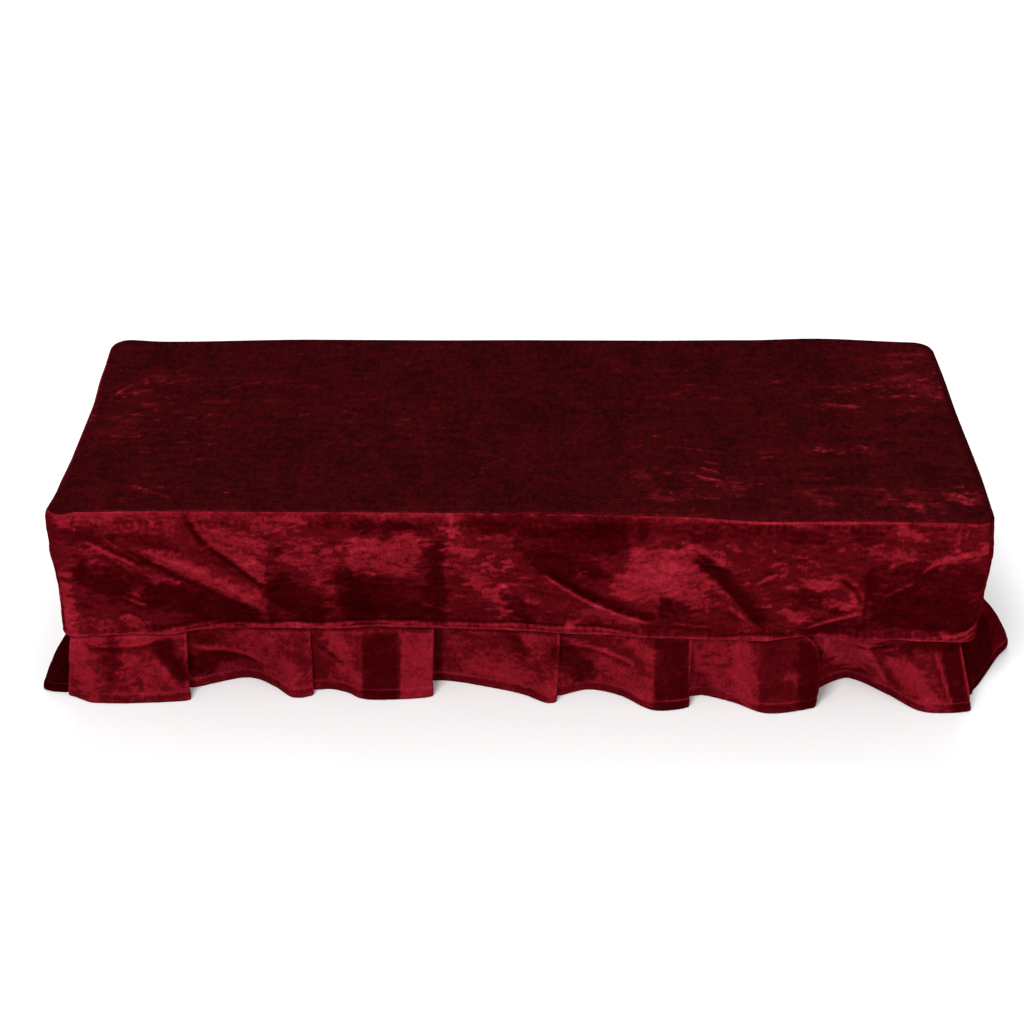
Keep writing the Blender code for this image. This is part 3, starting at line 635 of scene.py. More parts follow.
def on_line(line, x, y):
    """How far a point is along a line between two points and to its lower side, and the line's length."""
    run = math.hypot(line.along_end - line.along, line.drop_end - line.drop)
    step_x, step_y = (line.along_end - line.along) / run, (line.drop_end - line.drop) / run
    ahead = (x - line.along) * step_x + (y - line.drop) * step_y
    aside = (y - line.drop) * step_x - (x - line.along) * step_y
    return ahead, aside, run


def swell_of(folds, x, y):
    """The height of soft folds, which fall softly from their lines and round their ends."""
    height = 0.0
    for fold in folds:
        ahead, aside, run = on_line(fold, x, y)
        across = ease(1 - np.abs(aside) / (1.6 * fold.spread))
        inside = within(ahead, -fold.spread, run + fold.spread, 2 * fold.spread)
        height = height + fold.height * across * inside
    return height


def pinched(creases, x, y, glint_width=GLINT_WIDTH):
    """The height of sharp creases, and the painted highlights and shade that they add to the tone.
    glint_width is the half width of their painted lines."""
    height, tone = 0.0, 0.0
    for crease in creases:
        ahead, aside, run = on_line(crease, x, y)
        share = np.clip(ahead / run, 0, 1)
        aside = aside - crease.bow * 4 * share * (1 - share)
        taper = within(ahead, 0, run, 3 + 0.12 * run)
        spread = np.where(aside > 0, crease.below, crease.above)
        height = height + crease.height * taper * bell(aside, spread)
        # Painted highlight and shade on the line and beside it
        tone = tone + crease.glint * taper * bell(aside, glint_width)
        tone = tone + crease.over * taper * bell(aside / crease.above + 1, 1)
        tone = tone + crease.under * taper * bell(aside / crease.below - 1, 1)
    return height, tone


def waves(x, y, length, height, seed):
    """A sum of seeded waves, mostly from -1 to 1, about length long across and height long down."""
    dice = np.random.default_rng(seed)
    count = 16
    total = 0.0
    for _ in range(count):
        angle, phase = dice.uniform(0, 2 * math.pi, 2)
        size = 2 * math.pi * dice.uniform(0.6, 1.7)
        total = total + np.sin(size * (x * math.cos(angle) / length + y * math.sin(angle) / height) + phase)
    return total / math.sqrt(count)


def unevenness(kinds, x, y, seed=0):
    """The sum of waves of several kinds."""
    return sum(kind.height * waves(x, y, kind.across, kind.down, seed + kind.seed) for kind in kinds)


def marked(marks, x, y, seed, wander=1.0):
    """The tone of strokes whose edges wander: patches of the pile and, in the tables of marks, also painted
    highlights and shade.
    """
    at_x = x + wander * unevenness(WANDER_ALONG, x, y, seed)
    at_y = y + wander * unevenness(WANDER_DOWN, x, y, seed)
    tone = 0.0
    for mark in marks:
        ahead, aside, run = on_line(mark, at_x, at_y)
        far = np.hypot(aside, np.clip(ahead, 0, run) - ahead)
        tone = tone + mark.tone * ease((1.25 * mark.width - far) / (0.5 * mark.width))
    return tone


def strokes(side, front_marks, height, counts, seed):
    """The front's own marks, pile patches and painted highlights and shade, or on a side out of view seeded
    strokes and small creases with faint painted highlights and shade.
    """
    if side == "front":
        return front_marks, []
    half, _, heading = SIDES[side]
    dice = np.random.default_rng(seed + heading)
    marks, creases = [], []
    for _ in range(counts[side]):
        along, drop, run, lean, width = dice.uniform((-half, 0, 6, -0.5, 3), (half, height, 34, 0.6, 9))
        tone = dice.choice((-1, 1)) * dice.uniform(0.08, 0.26)
        marks.append(Mark(along, drop, along + run, drop + lean * run, width, tone))
        along, share, run, lean, ridge = dice.uniform((-half, 0.1, 8, -0.6, 0.2), (half, 0.8, 30, 0.8, 0.5))
        drop = share * height
        line = (along, drop, along + run, drop + lean * run)
        # Each small crease has a faint painted highlight on its line and painted shade beside it
        creases.append(Crease(*line, 1, ridge, 2, 3, 0.12, -0.05, -0.03))
    return marks, creases


def dashes(clusters, kind, seed):
    """Seeded dashes of bright nap, most of them near the middles of their clusters."""
    dice = np.random.default_rng(seed)
    marks = []
    for cluster in clusters:
        for _ in range(cluster.count):
            along = cluster.along + cluster.across * dice.normal()
            drop = cluster.drop + cluster.down * dice.normal()
            run, slope = dice.uniform(*kind.runs), dice.uniform(-kind.slope, kind.slope)
            width, tone = dice.uniform(*kind.widths), dice.uniform(*kind.tones)
            marks.append(Mark(along, drop, along + run, drop + slope * run, width, tone))
    return marks


def pressed(along, drop):
    """The tone beside the upright marks of the band."""
    tone = 0.0
    for press in PRESSES:
        away = along - press.along + 0.6 * waves(0, drop, 1, 20, seed=91)
        fade = ease(1 - np.abs(away) / PRESS_FADE) * within(drop, press.drop, press.drop_end, 12)
        tone = tone + fade * (press.left + (press.right - press.left) * ease(away / 1.6 + 0.5))
    return tone


def panelled(panels, along, down):
    """The painted shade and light of the upright faces of the skirt."""
    tone = 0.0
    along = along + 0.5 * waves(along, down, 8, 12, seed=92)
    for panel in panels:
        at = along - panel.lean * down / SKIRT_DROP
        tone = tone + panel.tone * within(at, panel.along - 1, panel.along_end + 1, 2) * ease(down / 3)
    return tone


def strip_edge(strip, along):
    """How far a raised strip reaches from its seam, and how far it has risen, 0 to 1."""
    risen = within(along, strip.along, strip.along_end, 40)
    return strip.depth * (0.3 + 0.7 * risen) + 0.8 * waves(along, 0, 60, 1, seed=77), risen


def seam_shine(strips, along, from_seam):
    """The painted highlight on a seam and on the upper edge of its raised strips, and the painted shade
    beyond those edges.
    """
    uneven = np.maximum(0.15, 0.75 + 0.4 * waves(along, 0, 90, 1, seed=78))
    tone, covered = 0.0, 0.0
    for strip in strips:
        edge, risen = strip_edge(strip, along)
        covered = np.maximum(covered, risen)
        tone = tone + STRIP_SHINE * risen * uneven * bell(from_seam - edge + 1.2, 1.4)
        tone = tone + STRIP_SHADE * risen * bell(from_seam - edge - 1.8, 1.4)
    return tone + (SEAM_SHINE + COVERED_SHINE * covered) * uneven * bell(from_seam - 1.2, 1.5)


def raised(strips, along, from_seam):
    """The height of the seam allowances' strips, at a distance from their seam."""
    height = 0.0
    for strip in strips:
        edge, risen = strip_edge(strip, along)
        height = height + strip.height * risen * ease((edge - from_seam) / 2.2)
    return height


def round_corner(side, station):
    """Along, out and lean of the outline: straight from station -1 to 1, and a half corner beyond."""
    lean = math.radians(45) * np.sign(station) * np.clip(np.abs(station) - 1, 0, 1)
    straight = (SIDES[side].half - CORNER_R) * np.clip(station, -1, 1)
    return straight + CORNER_R * np.sin(lean), CORNER_R * (np.cos(lean) - 1), lean


def placed(side, along, out, level):
    """Points in metres, in the row's own frame, from along, out and level on one side."""
    _, reach, heading = SIDES[side]
    turn = math.radians(heading)
    depth = -(reach + out)
    x = along * math.cos(turn) - depth * math.sin(turn)
    y = along * math.sin(turn) + depth * math.cos(turn)
    return MM * np.stack(np.broadcast_arrays(x, y, level), axis=-1)


def on_ring(side, station, swell, level):
    """Points of the rounded outline moved out by swell, the two ends kept just clear of the next sides."""
    along, out, lean = round_corner(side, station)
    clear = np.where(np.abs(station) > 1.999, SEAM_SPARE * np.sign(station), 0)
    swelled = along + swell * np.sin(lean) - clear * np.cos(lean)
    return placed(side, swelled, out + swell * np.cos(lean) + np.abs(clear) * np.sin(np.abs(lean)), level)


def stations(straight_steps, arc_steps):
    """Stations of one side from the middle of a corner to the middle of the next."""
    arc = 1 + (np.arange(arc_steps) + 1) / arc_steps
    return np.concatenate([-arc[::-1], np.linspace(-1, 1, straight_steps + 1), arc])


def turned_edge(side, station, row, way):
    """Swell, level and turn of a row of the edge between top and band. The row's curl rolls the cloth into
    the seam, towards the band for way 1 and towards the top for way -1, and its tail goes on in."""
    along = round_corner(side, station)[0]
    flat_turn = 0 if way > 0 else 90
    seam_turn = between(SEAMS[side], along, "turn") - way * math.degrees(ROLL / EDGE_R)
    turn = np.radians(flat_turn + (seam_turn - flat_turn) * row.share)
    curl = math.radians(row.curl)
    inwards = ROLL * (1 - math.cos(curl)) + row.tail
    towards = way * (ROLL - SEAM_SPARE) * math.sin(curl)
    swell = hang(side, along, 0) - EDGE_R * (1 - np.sin(turn))
    level = TOP_Z + between(HANGS[side], along, "lift") - EDGE_R * (1 - np.cos(turn))
    swell = swell - inwards * np.sin(turn) + towards * np.cos(turn)
    return swell, level - inwards * np.cos(turn) - towards * np.sin(turn), turn


def new_material(name):
    """A new material and its node tree."""
    material = bpy.data.materials.new(name)
    material.use_nodes = True
    return material, material.node_tree


def feed(tree, node, inputs):
    """Sets a node's inputs, each to a value or another node's output, and gives the node's own outputs."""
    for name, value in inputs.items():
        if isinstance(value, bpy.types.NodeSocket):
            tree.links.new(value, node.inputs[name])
        else:
            node.inputs[name].default_value = value
    return node.outputs


def shade(tree, inputs):
    """Sets the inputs of a material's shader."""
    feed(tree, tree.nodes["Principled BSDF"], inputs)


def add_node(tree, kind, inputs, **settings):
    """The outputs of a new shader node."""
    node = tree.nodes.new(f"ShaderNode{kind}")
    for name, setting in settings.items():
        setattr(node, name, setting)
    return feed(tree, node, inputs)


def cloth_place(tree):
    """Where on its flat cloth a point lies, in metres."""
    return add_node(tree, "Attribute", {}, attribute_name="cloth")["Vector"]


def grain(tree, place, layer):
    """Uneven streaks on the cloth, as many to a metre as the layer says."""
    counts = (layer.across, layer.down, 1)
    spread = add_node(tree, "VectorMath", {0: place, 1: counts}, operation="MULTIPLY")["Vector"]
    noise = {"Vector": spread, "Scale": 1.0, "Detail": layer.detail, "Roughness": 0.55, "Distortion": 0.3}
    return add_node(tree, "TexNoise", noise)["Fac"]


def added(tree, tone, more):
    """The sum of two tones."""
    return add_node(tree, "Math", {0: tone, 1: more}, operation="ADD")["Value"]


def bumped(tree, height, strength, depth):
    """The normal of a surface raised by up to depth, in metres."""
    return add_node(tree, "Bump", {"Height": height, "Strength": strength, "Distance": depth})["Normal"]


def coloured(tree, tone, colours, interpolation="LINEAR"):
    """The colour of a tone, from a row of tones and their colours. A new ramp already has two stops."""
    node = tree.nodes.new("ShaderNodeValToRGB")
    node.color_ramp.interpolation = interpolation
    stops = node.color_ramp.elements
    for number, (at, colour) in enumerate(colours):
        stop = stops[number] if number < 2 else stops.new(at)
        stop.position = at
        stop.color = (*colour, 1.0)
    return feed(tree, node, {"Fac": tone})["Color"]


def velvet(name, layers, sheen, painted_sheen=0.0, spots=0.0):
    """Crushed velvet. Its tone comes from what is laid in the mesh, the pile's patches with painted
    highlights and shade, and from layers of streaks. painted_sheen is a grey added to its colours as
    painted sheen, and spots the tone of its small bright specks, painted glints."""
    material, tree = new_material(name)
    place = cloth_place(tree)
    tone = add_node(tree, "Attribute", {}, attribute_name="nap_and_shading")["Fac"]
    streaks = [grain(tree, place, layer) for layer in layers]
    for layer, streak in zip(layers, streaks):
        swing = {0: streak, 1: 2 * layer.strength, 2: -layer.strength}
        tone = added(tree, tone, add_node(tree, "Math", swing, operation="MULTIPLY_ADD")["Value"])
    # Small bright specks of the top, painted glints
    if spots:
        painted_glint = {"Value": grain(tree, place, SPOT_LAYER), "From Min": SPOT_FROM, "From Max": SPOT_FULL}
        tone = added(tree, tone, add_node(tree, "MapRange", {**painted_glint, "To Max": spots})["Result"])
    # A grey is added to the colours as painted sheen
    colours = [(at, (red, green + painted_sheen, blue + painted_sheen)) for at, (red, green, blue) in TONE_COLOURS]
    pile = added(tree, streaks[PILE_LAYER], streaks[PILE_LAYER + 1])
    shade(tree, {
        "Base Color": coloured(tree, tone, colours, "EASE"),
        "Normal": bumped(tree, pile, 0.6, 0.0006),
        "Roughness": 0.72,
        "Specular IOR Level": 0.0,
        "Sheen Weight": sheen,
        "Sheen Roughness": 0.3,
        "Sheen Tint": (1.0, 0.03, 0.08, 1.0),
    })
    return material


def backing(name):
    """The velvet's wrong side: a plain weave, duller and darker."""
    material, tree = new_material(name)
    threads = {"Vector": cloth_place(tree), "Scale": 260.0, "Distortion": 1.5, "Detail": 2.0}
    weave = add_node(tree, "TexWave", threads)["Fac"]
    shade(tree, {
        "Base Color": coloured(tree, weave, BACKING_COLOURS),
        "Normal": bumped(tree, weave, 0.4, 0.0003),
        "Roughness": 0.9,
    })
    return material


def sewing_thread(name):
    """Twisted thread, a little lighter than the velvet."""
    material, tree = new_material(name)
    place = add_node(tree, "TexCoord", {})["Object"]
    twist = add_node(tree, "TexNoise", {"Vector": place, "Scale": 1500.0})["Fac"]
    colour = coloured(tree, twist, THREAD_COLOURS)
    shade(tree, {"Base Color": colour, "Roughness": 0.6, "Specular IOR Level": 0.1})
    return material


def facing(points):
    """Each grid point's outward normal."""
    normal = np.cross(np.gradient(points, axis=1), np.gradient(points, axis=0))
    return normal / np.maximum(np.linalg.norm(normal, axis=-1, keepdims=True), 1e-12)


def ridged(points):
    """Painted highlight on ridges and painted shade in troughs, which grow with how sharply the cloth
    bends.
    """
    normal = facing(points)
    bend = 0.0
    for axis in (0, 1):
        step = np.gradient(points, axis=axis)
        turn = np.gradient(normal, axis=axis)
        bend = bend + MM * (turn * step).sum(-1) / np.maximum((step * step).sum(-1), 1e-9)
    return BEND_SHADING * np.tanh(RIDGE_BEND * bend)


def new_object(name, data):
    """A new object in the scene."""
    made = bpy.data.objects.new(name, data)
    bpy.context.scene.collection.objects.link(made)
    return made


def show(name, data):
    """A new piece that rides on the cover's body."""
    piece = new_object(name, data)
    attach(piece, "root")
    return piece


def sheet(node, points, cloth, nap_and_shading, materials, thickness, offset):
    """A thin sheet through a grid of points that replaces a node, with its cloth places and its tone laid
    in: the pile's patches with painted highlights and shade.
    """
    rows, columns = points.shape[:2]
    # Painted highlight on ridges and painted shade in troughs join the tone, which then bends off softly
    nap_and_shading = TONE_MIDDLE + TONE_REACH * np.tanh((nap_and_shading + ridged(points) - TONE_MIDDLE) / TONE_REACH)
    corner = np.arange(rows * columns).reshape(rows, columns)
    quads = np.stack([corner[:-1, :-1], corner[:-1, 1:], corner[1:, 1:], corner[1:, :-1]], axis=-1)
    mesh = bpy.data.meshes.new(f"{node}_velvet")
    mesh.from_pydata(points.reshape(-1, 3).tolist(), [], quads.reshape(-1, 4).tolist())
    flat = np.dstack(np.broadcast_arrays(*cloth, 0.0)) * MM
    mesh.attributes.new("cloth", "FLOAT_VECTOR", "POINT").data.foreach_set("vector", flat.ravel())
    mesh.attributes.new("nap_and_shading", "FLOAT", "POINT").data.foreach_set("value", nap_and_shading.ravel())
    mesh.shade_smooth()
    for material in materials:
        mesh.materials.append(material)
    piece = show(f"{node}_velvet", mesh)
    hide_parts(node)
    solid = piece.modifiers.new("cloth", "SOLIDIFY")
    solid.thickness = thickness * MM
    solid.offset = offset
    solid.material_offset = 1
    return piece


def flipped(creases):
    """Creases given in X and Y, as along and drop."""
    return [c._replace(drop=-c.drop, drop_end=-c.drop_end) for c in creases]


def top_rings():
    """The top's grid of points, with only its outer loops laid, which roll its edge into the seam."""
    columns = TOP_LONG_STEPS + 2 * TOP_ARC_STEPS
    rows = TOP_SHORT_STEPS + 2 * TOP_ARC_STEPS
    points = np.zeros((rows + 1, columns + 1, 3))
    for ring, row in enumerate([*EDGE_ROWS, EdgeRow(0, 0, 0)]):
        loop = {}
        for side in SIDES:
            steps = TOP_LONG_STEPS if side in LONG else TOP_SHORT_STEPS
            station = stations(steps, TOP_ARC_STEPS - ring)
            swell, level, _ = turned_edge(side, station, row, 1)
            loop[side] = on_ring(side, station, swell, level)
        right, top = columns - ring, rows - ring
        points[ring, ring:right + 1] = loop["front"]
        points[top, ring:right + 1] = loop["back"][::-1]
        points[ring:top + 1, ring] = loop["left"][::-1]
        points[ring:top + 1, right] = loop["right"]
    return points


def stretched(loop):
    """Points spread evenly between the four sides of a grid, whose inner ones are still to be laid."""
    front, back, left, right = loop[0], loop[-1], loop[:, 0], loop[:, -1]
    u = ((front[:, 0] - front[0, 0]) / (front[-1, 0] - front[0, 0]))[None, :, None]
    v = ((right[:, 1] - right[0, 1]) / (right[-1, 1] - right[0, 1]))[:, None, None]
    inner = front[None] * (1 - v) + back[None] * v + left[:, None] * (1 - u) + right[:, None] * u
    return inner - (
        front[0] * (1 - u) * (1 - v) + front[-1] * u * (1 - v) + back[0] * (1 - u) * v + back[-1] * u * v
    )


def make_top(materials):
    """The top panel: loops that roll its edge into the seam, round a sheet stretched between its sides."""
    points = top_rings()
    rim = len(EDGE_ROWS)
    flat = points[rim:-rim, rim:-rim]
    inner = stretched(flat)
    x, y = inner[..., 0] / MM, inner[..., 1] / MM
    from_edge = np.minimum(WIDTH / 2 - np.abs(x), DEPTH / 2 - np.abs(y)) - EDGE_R
    relief = swell_of(TOP_FOLDS, x, y) + pinched(flipped(TOP_CREASES), x, -y)[0]
    relief = relief + unevenness(TOP_UNEVEN, x, y)
    lift = (inner[..., 2] / MM - TOP_Z) * (1 - ease(from_edge / 80))
    inner[..., 2] = MM * (TOP_Z + relief * ease(from_edge / 30) + lift)
    flat[1:-1, 1:-1] = inner[1:-1, 1:-1]
    x, y = points[..., 0] / MM, points[..., 1] / MM
    # Painted highlights and shade of the creases, and marks that are partly the pile's patches and partly
    # painted light and shade
    tone = pinched(flipped(TOP_CREASES), x, -y, TOP_GLINT_WIDTH)[1] + marked(TOP_MARKS, x, y, seed=21)
    dashed = dashes(TOP_CLUSTERS, TOP_DASH, seed=22)
    streaked = dashes(TOP_STREAK_CLUSTERS, TOP_STREAK, seed=23)
    tone = tone + marked(dashed, x, y, seed=21, wander=0.3)
    tone = tone + marked(streaked, x, y, seed=21, wander=0.5)
    turned = np.maximum(0, TOP_Z - points[..., 2] / MM)
    ends_nearer = WIDTH / 2 - np.abs(x) < DEPTH / 2 - np.abs(y)
    # The top's low tone and its darker right edge are painted shade
    nap_and_shading = TOP_TONE + tone + TOP_RIGHT_EDGE_SHADE * ends_nearer * ease((x - WIDTH / 2 + 3) / 2.5)
    cloth_x = x + np.sign(x) * np.where(ends_nearer, turned, 0)
    cloth_y = y + np.sign(y) * np.where(ends_nearer, 0, turned)
    return sheet("top_panel", points, (cloth_x, cloth_y), nap_and_shading, materials, CLOTH, offset=-1)


def seen_drop(swell, level):
    """How far down a place looks on its side's plane, from above the front: what stands out looks lower."""
    return TOP_Z - level + LOOK_DOWN * swell


def band_rows(side, station, creases):
    """Swell, level and drop of the band's rows, from the skirt seam up to the top seam."""
    along = round_corner(side, station)[0]
    lift, rise = between(HANGS[side], along, "lift"), between(HANGS[side], along, "rise")
    from_corner = SIDES[side].half - np.abs(along)
    rows = []
    for row in EDGE_ROWS:
        swell, level, turn = turned_edge(side, station, row, -1)
        rows.append((swell, level, EDGE_R * (turn - math.pi / 2)))
    for share in np.linspace(0, 1 - ROLL / BAND_HEIGHT, round(BAND_HEIGHT / BAND_STEP[side])):
        drop = share * BAND_HEIGHT
        from_seam = BAND_HEIGHT - drop
        level = TOP_Z + lift - EDGE_R - share * (BAND_HEIGHT - EDGE_R + lift - rise)
        fade = ease(from_corner / 40) * ease(drop / 14) * ease((from_seam - ALLOWANCE) / 16)
        rough = unevenness(BAND_UNEVEN, along, drop)
        beside_seams = ease(1 - drop / 13) + ease((drop - 101) / 9)
        pucker = 0.4 * waves(along, drop, 9, 60, seed=43) * beside_seams
        swell = hang(side, along, share) + fade * swell_of(FOLDS[side], along, drop)
        sharp = pinched(creases, along, seen_drop(swell, level))[0] * ease(from_corner / 6) * ease(drop / 5)
        swell = swell + sharp * ease(from_seam / 5)
        swell = swell + (rough + pucker) * ease(from_corner / 20) * ease(drop / 3)
        swell = swell + raised(BAND_STRIPS[side], along, from_seam) * ease(from_seam / 2.5)
        rows.append((swell, level, drop + 0 * along))
    for curl, tail in ((30, 0), (60, 0), (90, 0), (90, ROLL_TAIL)):
        turn = math.radians(curl)
        inwards = ROLL * (1 - math.cos(turn)) + tail
        below = BAND_HEIGHT - ROLL + turn * ROLL + tail + 0 * along
        rows.append((swell - inwards, level - ROLL * math.sin(turn), below))
    return (np.array(column) for column in zip(*rows[::-1]))


def make_band(side, materials):
    """One panel of the band, from the top seam down to the skirt seam and from corner to corner."""
    half, _, heading = SIDES[side]
    station = stations(round(2 * (half - CORNER_R) / BAND_STEP[side]), BAND_ARC_STEPS)
    along = round_corner(side, station)[0]
    marks, small = strokes(side, BAND_MARKS, BAND_HEIGHT, BAND_STROKES, seed=31)
    creases = [*BAND_CREASES[side], *small]
    swell, level, drop = band_rows(side, station, creases)
    seen = seen_drop(swell, level)
    # Marks, and the creases' painted highlights and shade
    tone = marked(marks, along, seen, seed=51 + heading) + pinched(creases, along, seen)[1]
    # Painted highlights and shade at the skirt seam
    tone = tone + seam_shine(BAND_STRIPS[side], along, BAND_HEIGHT - drop)
    if side == "front":
        dashed = dashes(BAND_CLUSTERS, BAND_DASH, seed=44)
        tone = tone + pressed(along, seen) + marked(dashed, along, seen, seed=45, wander=0.3)
    from_rim = drop - EDGE_R * (np.radians(between(SEAMS[side], along, "turn")) - math.pi / 2)
    # Painted highlight and shade along the top seam, on a side's tone that is painted darker on the right
    # and left
    rim_shading = between(RIMS[side], along, "tone") + 0.06 * waves(along, 0, 30, 1, seed=79)
    nap_and_shading = BAND_TONE[side] + (tone + rim_shading * bell(from_rim - 1.5, 2.2))
    cloth = (along + STRETCH_PER_DEGREE * heading + BAND_STRETCH, -drop)
    points = on_ring(side, station, swell, level)
    return sheet(f"band_{side}", points, cloth, nap_and_shading, materials, CLOTH, offset=-1)


def seam_out(side, along, layer):
    """The middle of the skirt's cloth at its seam, in a layer counted inwards from 0, next to the band."""
    inset = between(HANGS[side], along, "foot") - SOLID_CLOTH - SKIRT_GAP - SOLID_SKIRT / 2 - layer * LAYER
    past = abs(along) - (SIDES[side].half - CORNER_R)
    if past <= 0:
        return inset
    return math.sqrt(max(0.0, (CORNER_R + inset) ** 2 - past ** 2)) - CORNER_R


def layered(side, seam_along, layer, hem_along, hem_out):
    """A key whose seam lies in one of the layers behind the band."""
    return Key(seam_along, seam_out(side, seam_along, layer), hem_along, hem_out)


def beside(side, seam, hem, out, steps):
    """Keys beside a fold. Each step says how far it is from the fold at the seam, in which layer it lies
    there, and how far along and out it is from the fold at the hem."""
    return [layered(side, seam + at, layer, hem + along, out + away) for at, layer, along, away in steps]


def strip_start(side):
    """The keys before the first face: folded back on a long strip, tucked behind a long one on a short."""
    half = SIDES[side].half
    out = FACES[side][0].enter
    if side in LONG:
        steps = ((UNDERLAY, 1, 20, -4), (BEND, 1, 3, -3.5), (0, 0.5, 0, -1.5), (BEND, 0, 1.5, 0))
        return beside(side, -half + STRIP_START[side], -half + 2.5, out, steps)
    return [
        Key(-half + TUCK_IN, -TUCK_LENGTH, -half + 8, -16),
        Key(-half + TUCK_IN, -17, -half + 10, -8),
        Key(-half + TUCK_IN + 1.5, -11.5, -half + 13, 0),
        layered(side, -half + 19, 0, -half + 17, out),
    ]


def strip_end(side):
    """The keys after the last face, to match strip_start."""
    half = SIDES[side].half
    face = FACES[side][-1]
    hem, out = face.fold_hem, face.fold_out
    if side in LONG:
        steps = ((-BEND, 0, -2, 0), (0, 0.5, 0, -2), (-BEND, 1, -3, -4), (-UNDERLAY, 1, -20, -8))
        return beside(side, face.fold_seam, hem, out, steps)
    return [
        layered(side, half - 17.5, 0.2, hem, out),
        Key(half - TUCK_IN - 1, -12.5, hem + 4.5, out - 2),
        Key(half - TUCK_IN, -18, half - 8, out - 12),
        Key(half - TUCK_IN, -TUCK_LENGTH, half - 8, -12),
    ]


def pleat(side, face, enter):
    """The keys of a fold and of the cloth's way back under its face to where the next face comes out."""
    tuck, outwards = face.tuck, enter - face.fold_out
    steps = (
        (-BEND, 0, -2, 0),
        (0, 0.5, 0, -2),
        (-BEND, 1, -0.4 * tuck, 0.25 * outwards),
        (BEND - UNDERLAY, 1, -0.9 * tuck, 0.55 * outwards),
        (-UNDERLAY, 1.5, -tuck, 0.75 * outwards),
        (BEND - UNDERLAY, 2, -0.8 * tuck, 0.92 * outwards),
        (3, 1.8, 3, outwards),
    )
    return beside(side, face.fold_seam, face.fold_hem, face.fold_out, steps)


def strip_keys(side):
    """The strip's whole course in plan, face by face."""
    faces = FACES[side]
    keys = strip_start(side)
    for number, face in enumerate(faces):
        from_seam, from_hem = keys[-1].seam_along, keys[-1].hem_along
        run = (face.fold_seam - from_seam) / (face.fold_hem - from_hem)
        across = (
            (face.hollow_at, face.hollow, 0.6),
            (face.mid_at, face.mid, 0.1),
            (face.shoulder_at, face.crest, 0.0),
        )
        for hem_along, hem_out, layer in across:
            seam_along = from_seam + (hem_along - from_hem) * run
            keys.append(layered(side, seam_along, layer if number else 0, hem_along, hem_out))
        if face is not faces[-1]:
            keys += pleat(side, face, faces[number + 1].enter)
    return keys + strip_end(side)


def curve_through(points, counts):
    """A smooth plan curve through points, with counts steps in each span: centripetal Catmull-Rom."""
    path = [2 * points[0] - points[1], *points, 2 * points[-1] - points[-2]]
    made = []
    for i, count in enumerate(counts):
        p0, p1, p2, p3 = path[i:i + 4]
        t1 = math.sqrt((p1 - p0).length)
        t2 = t1 + math.sqrt((p2 - p1).length)
        t3 = t2 + math.sqrt((p3 - p2).length)
        for step in range(count):
            t = t1 + (t2 - t1) * step / count
            a1 = p0.lerp(p1, t / t1)
            a2 = p1.lerp(p2, (t - t1) / (t2 - t1))
            a3 = p2.lerp(p3, (t - t2) / (t3 - t2))
            b1 = a1.lerp(a2, t / t2)
            b2 = a2.lerp(a3, (t - t1) / (t3 - t1))
            made.append(b1.lerp(b2, (t - t1) / (t2 - t1)))
    made.append(points[-1])
    return np.array(made)


def skirt_lines(side):
    """The strip's points in lines from the hem up to the allowance, each line's share of the drop, and how
    far along the hem each of its points lies."""
    keys = strip_keys(side)
    seams = [Vector((key.seam_along, key.seam_out)) for key in keys]
    hems = [Vector((key.hem_along, key.hem_out)) for key in keys]
    spans = [max((a - b).length, (c - d).length) for a, b, c, d in zip(seams, seams[1:], hems, hems[1:])]
    counts = [max(3, math.ceil(span / SKIRT_STEP)) for span in spans]
    seam, hem = curve_through(seams, counts), curve_through(hems, counts)
    seam[:, 1] = [min(out, seam_out(side, along, 0)) for along, out in seam]
    rise = between(HANGS[side], seam[:, 0], "rise")
    lean = hang(side, seam[:, 0], 1) - hang(side, seam[:, 0], 1 - ALLOWANCE / BAND_HEIGHT)
    reach = np.linalg.norm(hem - seam, axis=1)
    drop = np.minimum(SKIRT_DROP, np.sqrt(SKIRT_CUT ** 2 - reach ** 2))
    flare_z = SEAM_Z + rise - FLARE_BELOW
    shares = [
        *np.linspace(1, 1 - HEM_DEPTH / SKIRT_DROP, HEM_ROWS), *np.linspace(SKIRT_ROWS_FROM, 0, SKIRT_ROWS)
    ]
    lines = []
    for share in shares:
        spot = seam + (hem - seam) * (1 - (1 - share) ** FLARE_BEND[side])
        for bow in BOWS[side]:
            shift = bow.shift * math.sin(math.pi * share ** 0.6)
            spot[:, 0] += shift * bell(spot[:, 0] - bow.along, bow.spread)
        lines.append(placed(side, *spot.T, flare_z + (SEAM_Z - drop - flare_z) * share))
    lines.append(placed(side, seam[:, 0], seam[:, 1] - np.maximum(0, lean), SEAM_Z + rise + ALLOWANCE))
    length = np.concatenate([[0], np.cumsum(np.linalg.norm(np.diff(hem, axis=0), axis=1))])
    return np.array(lines), np.array([*shares, 0])[:, None], length


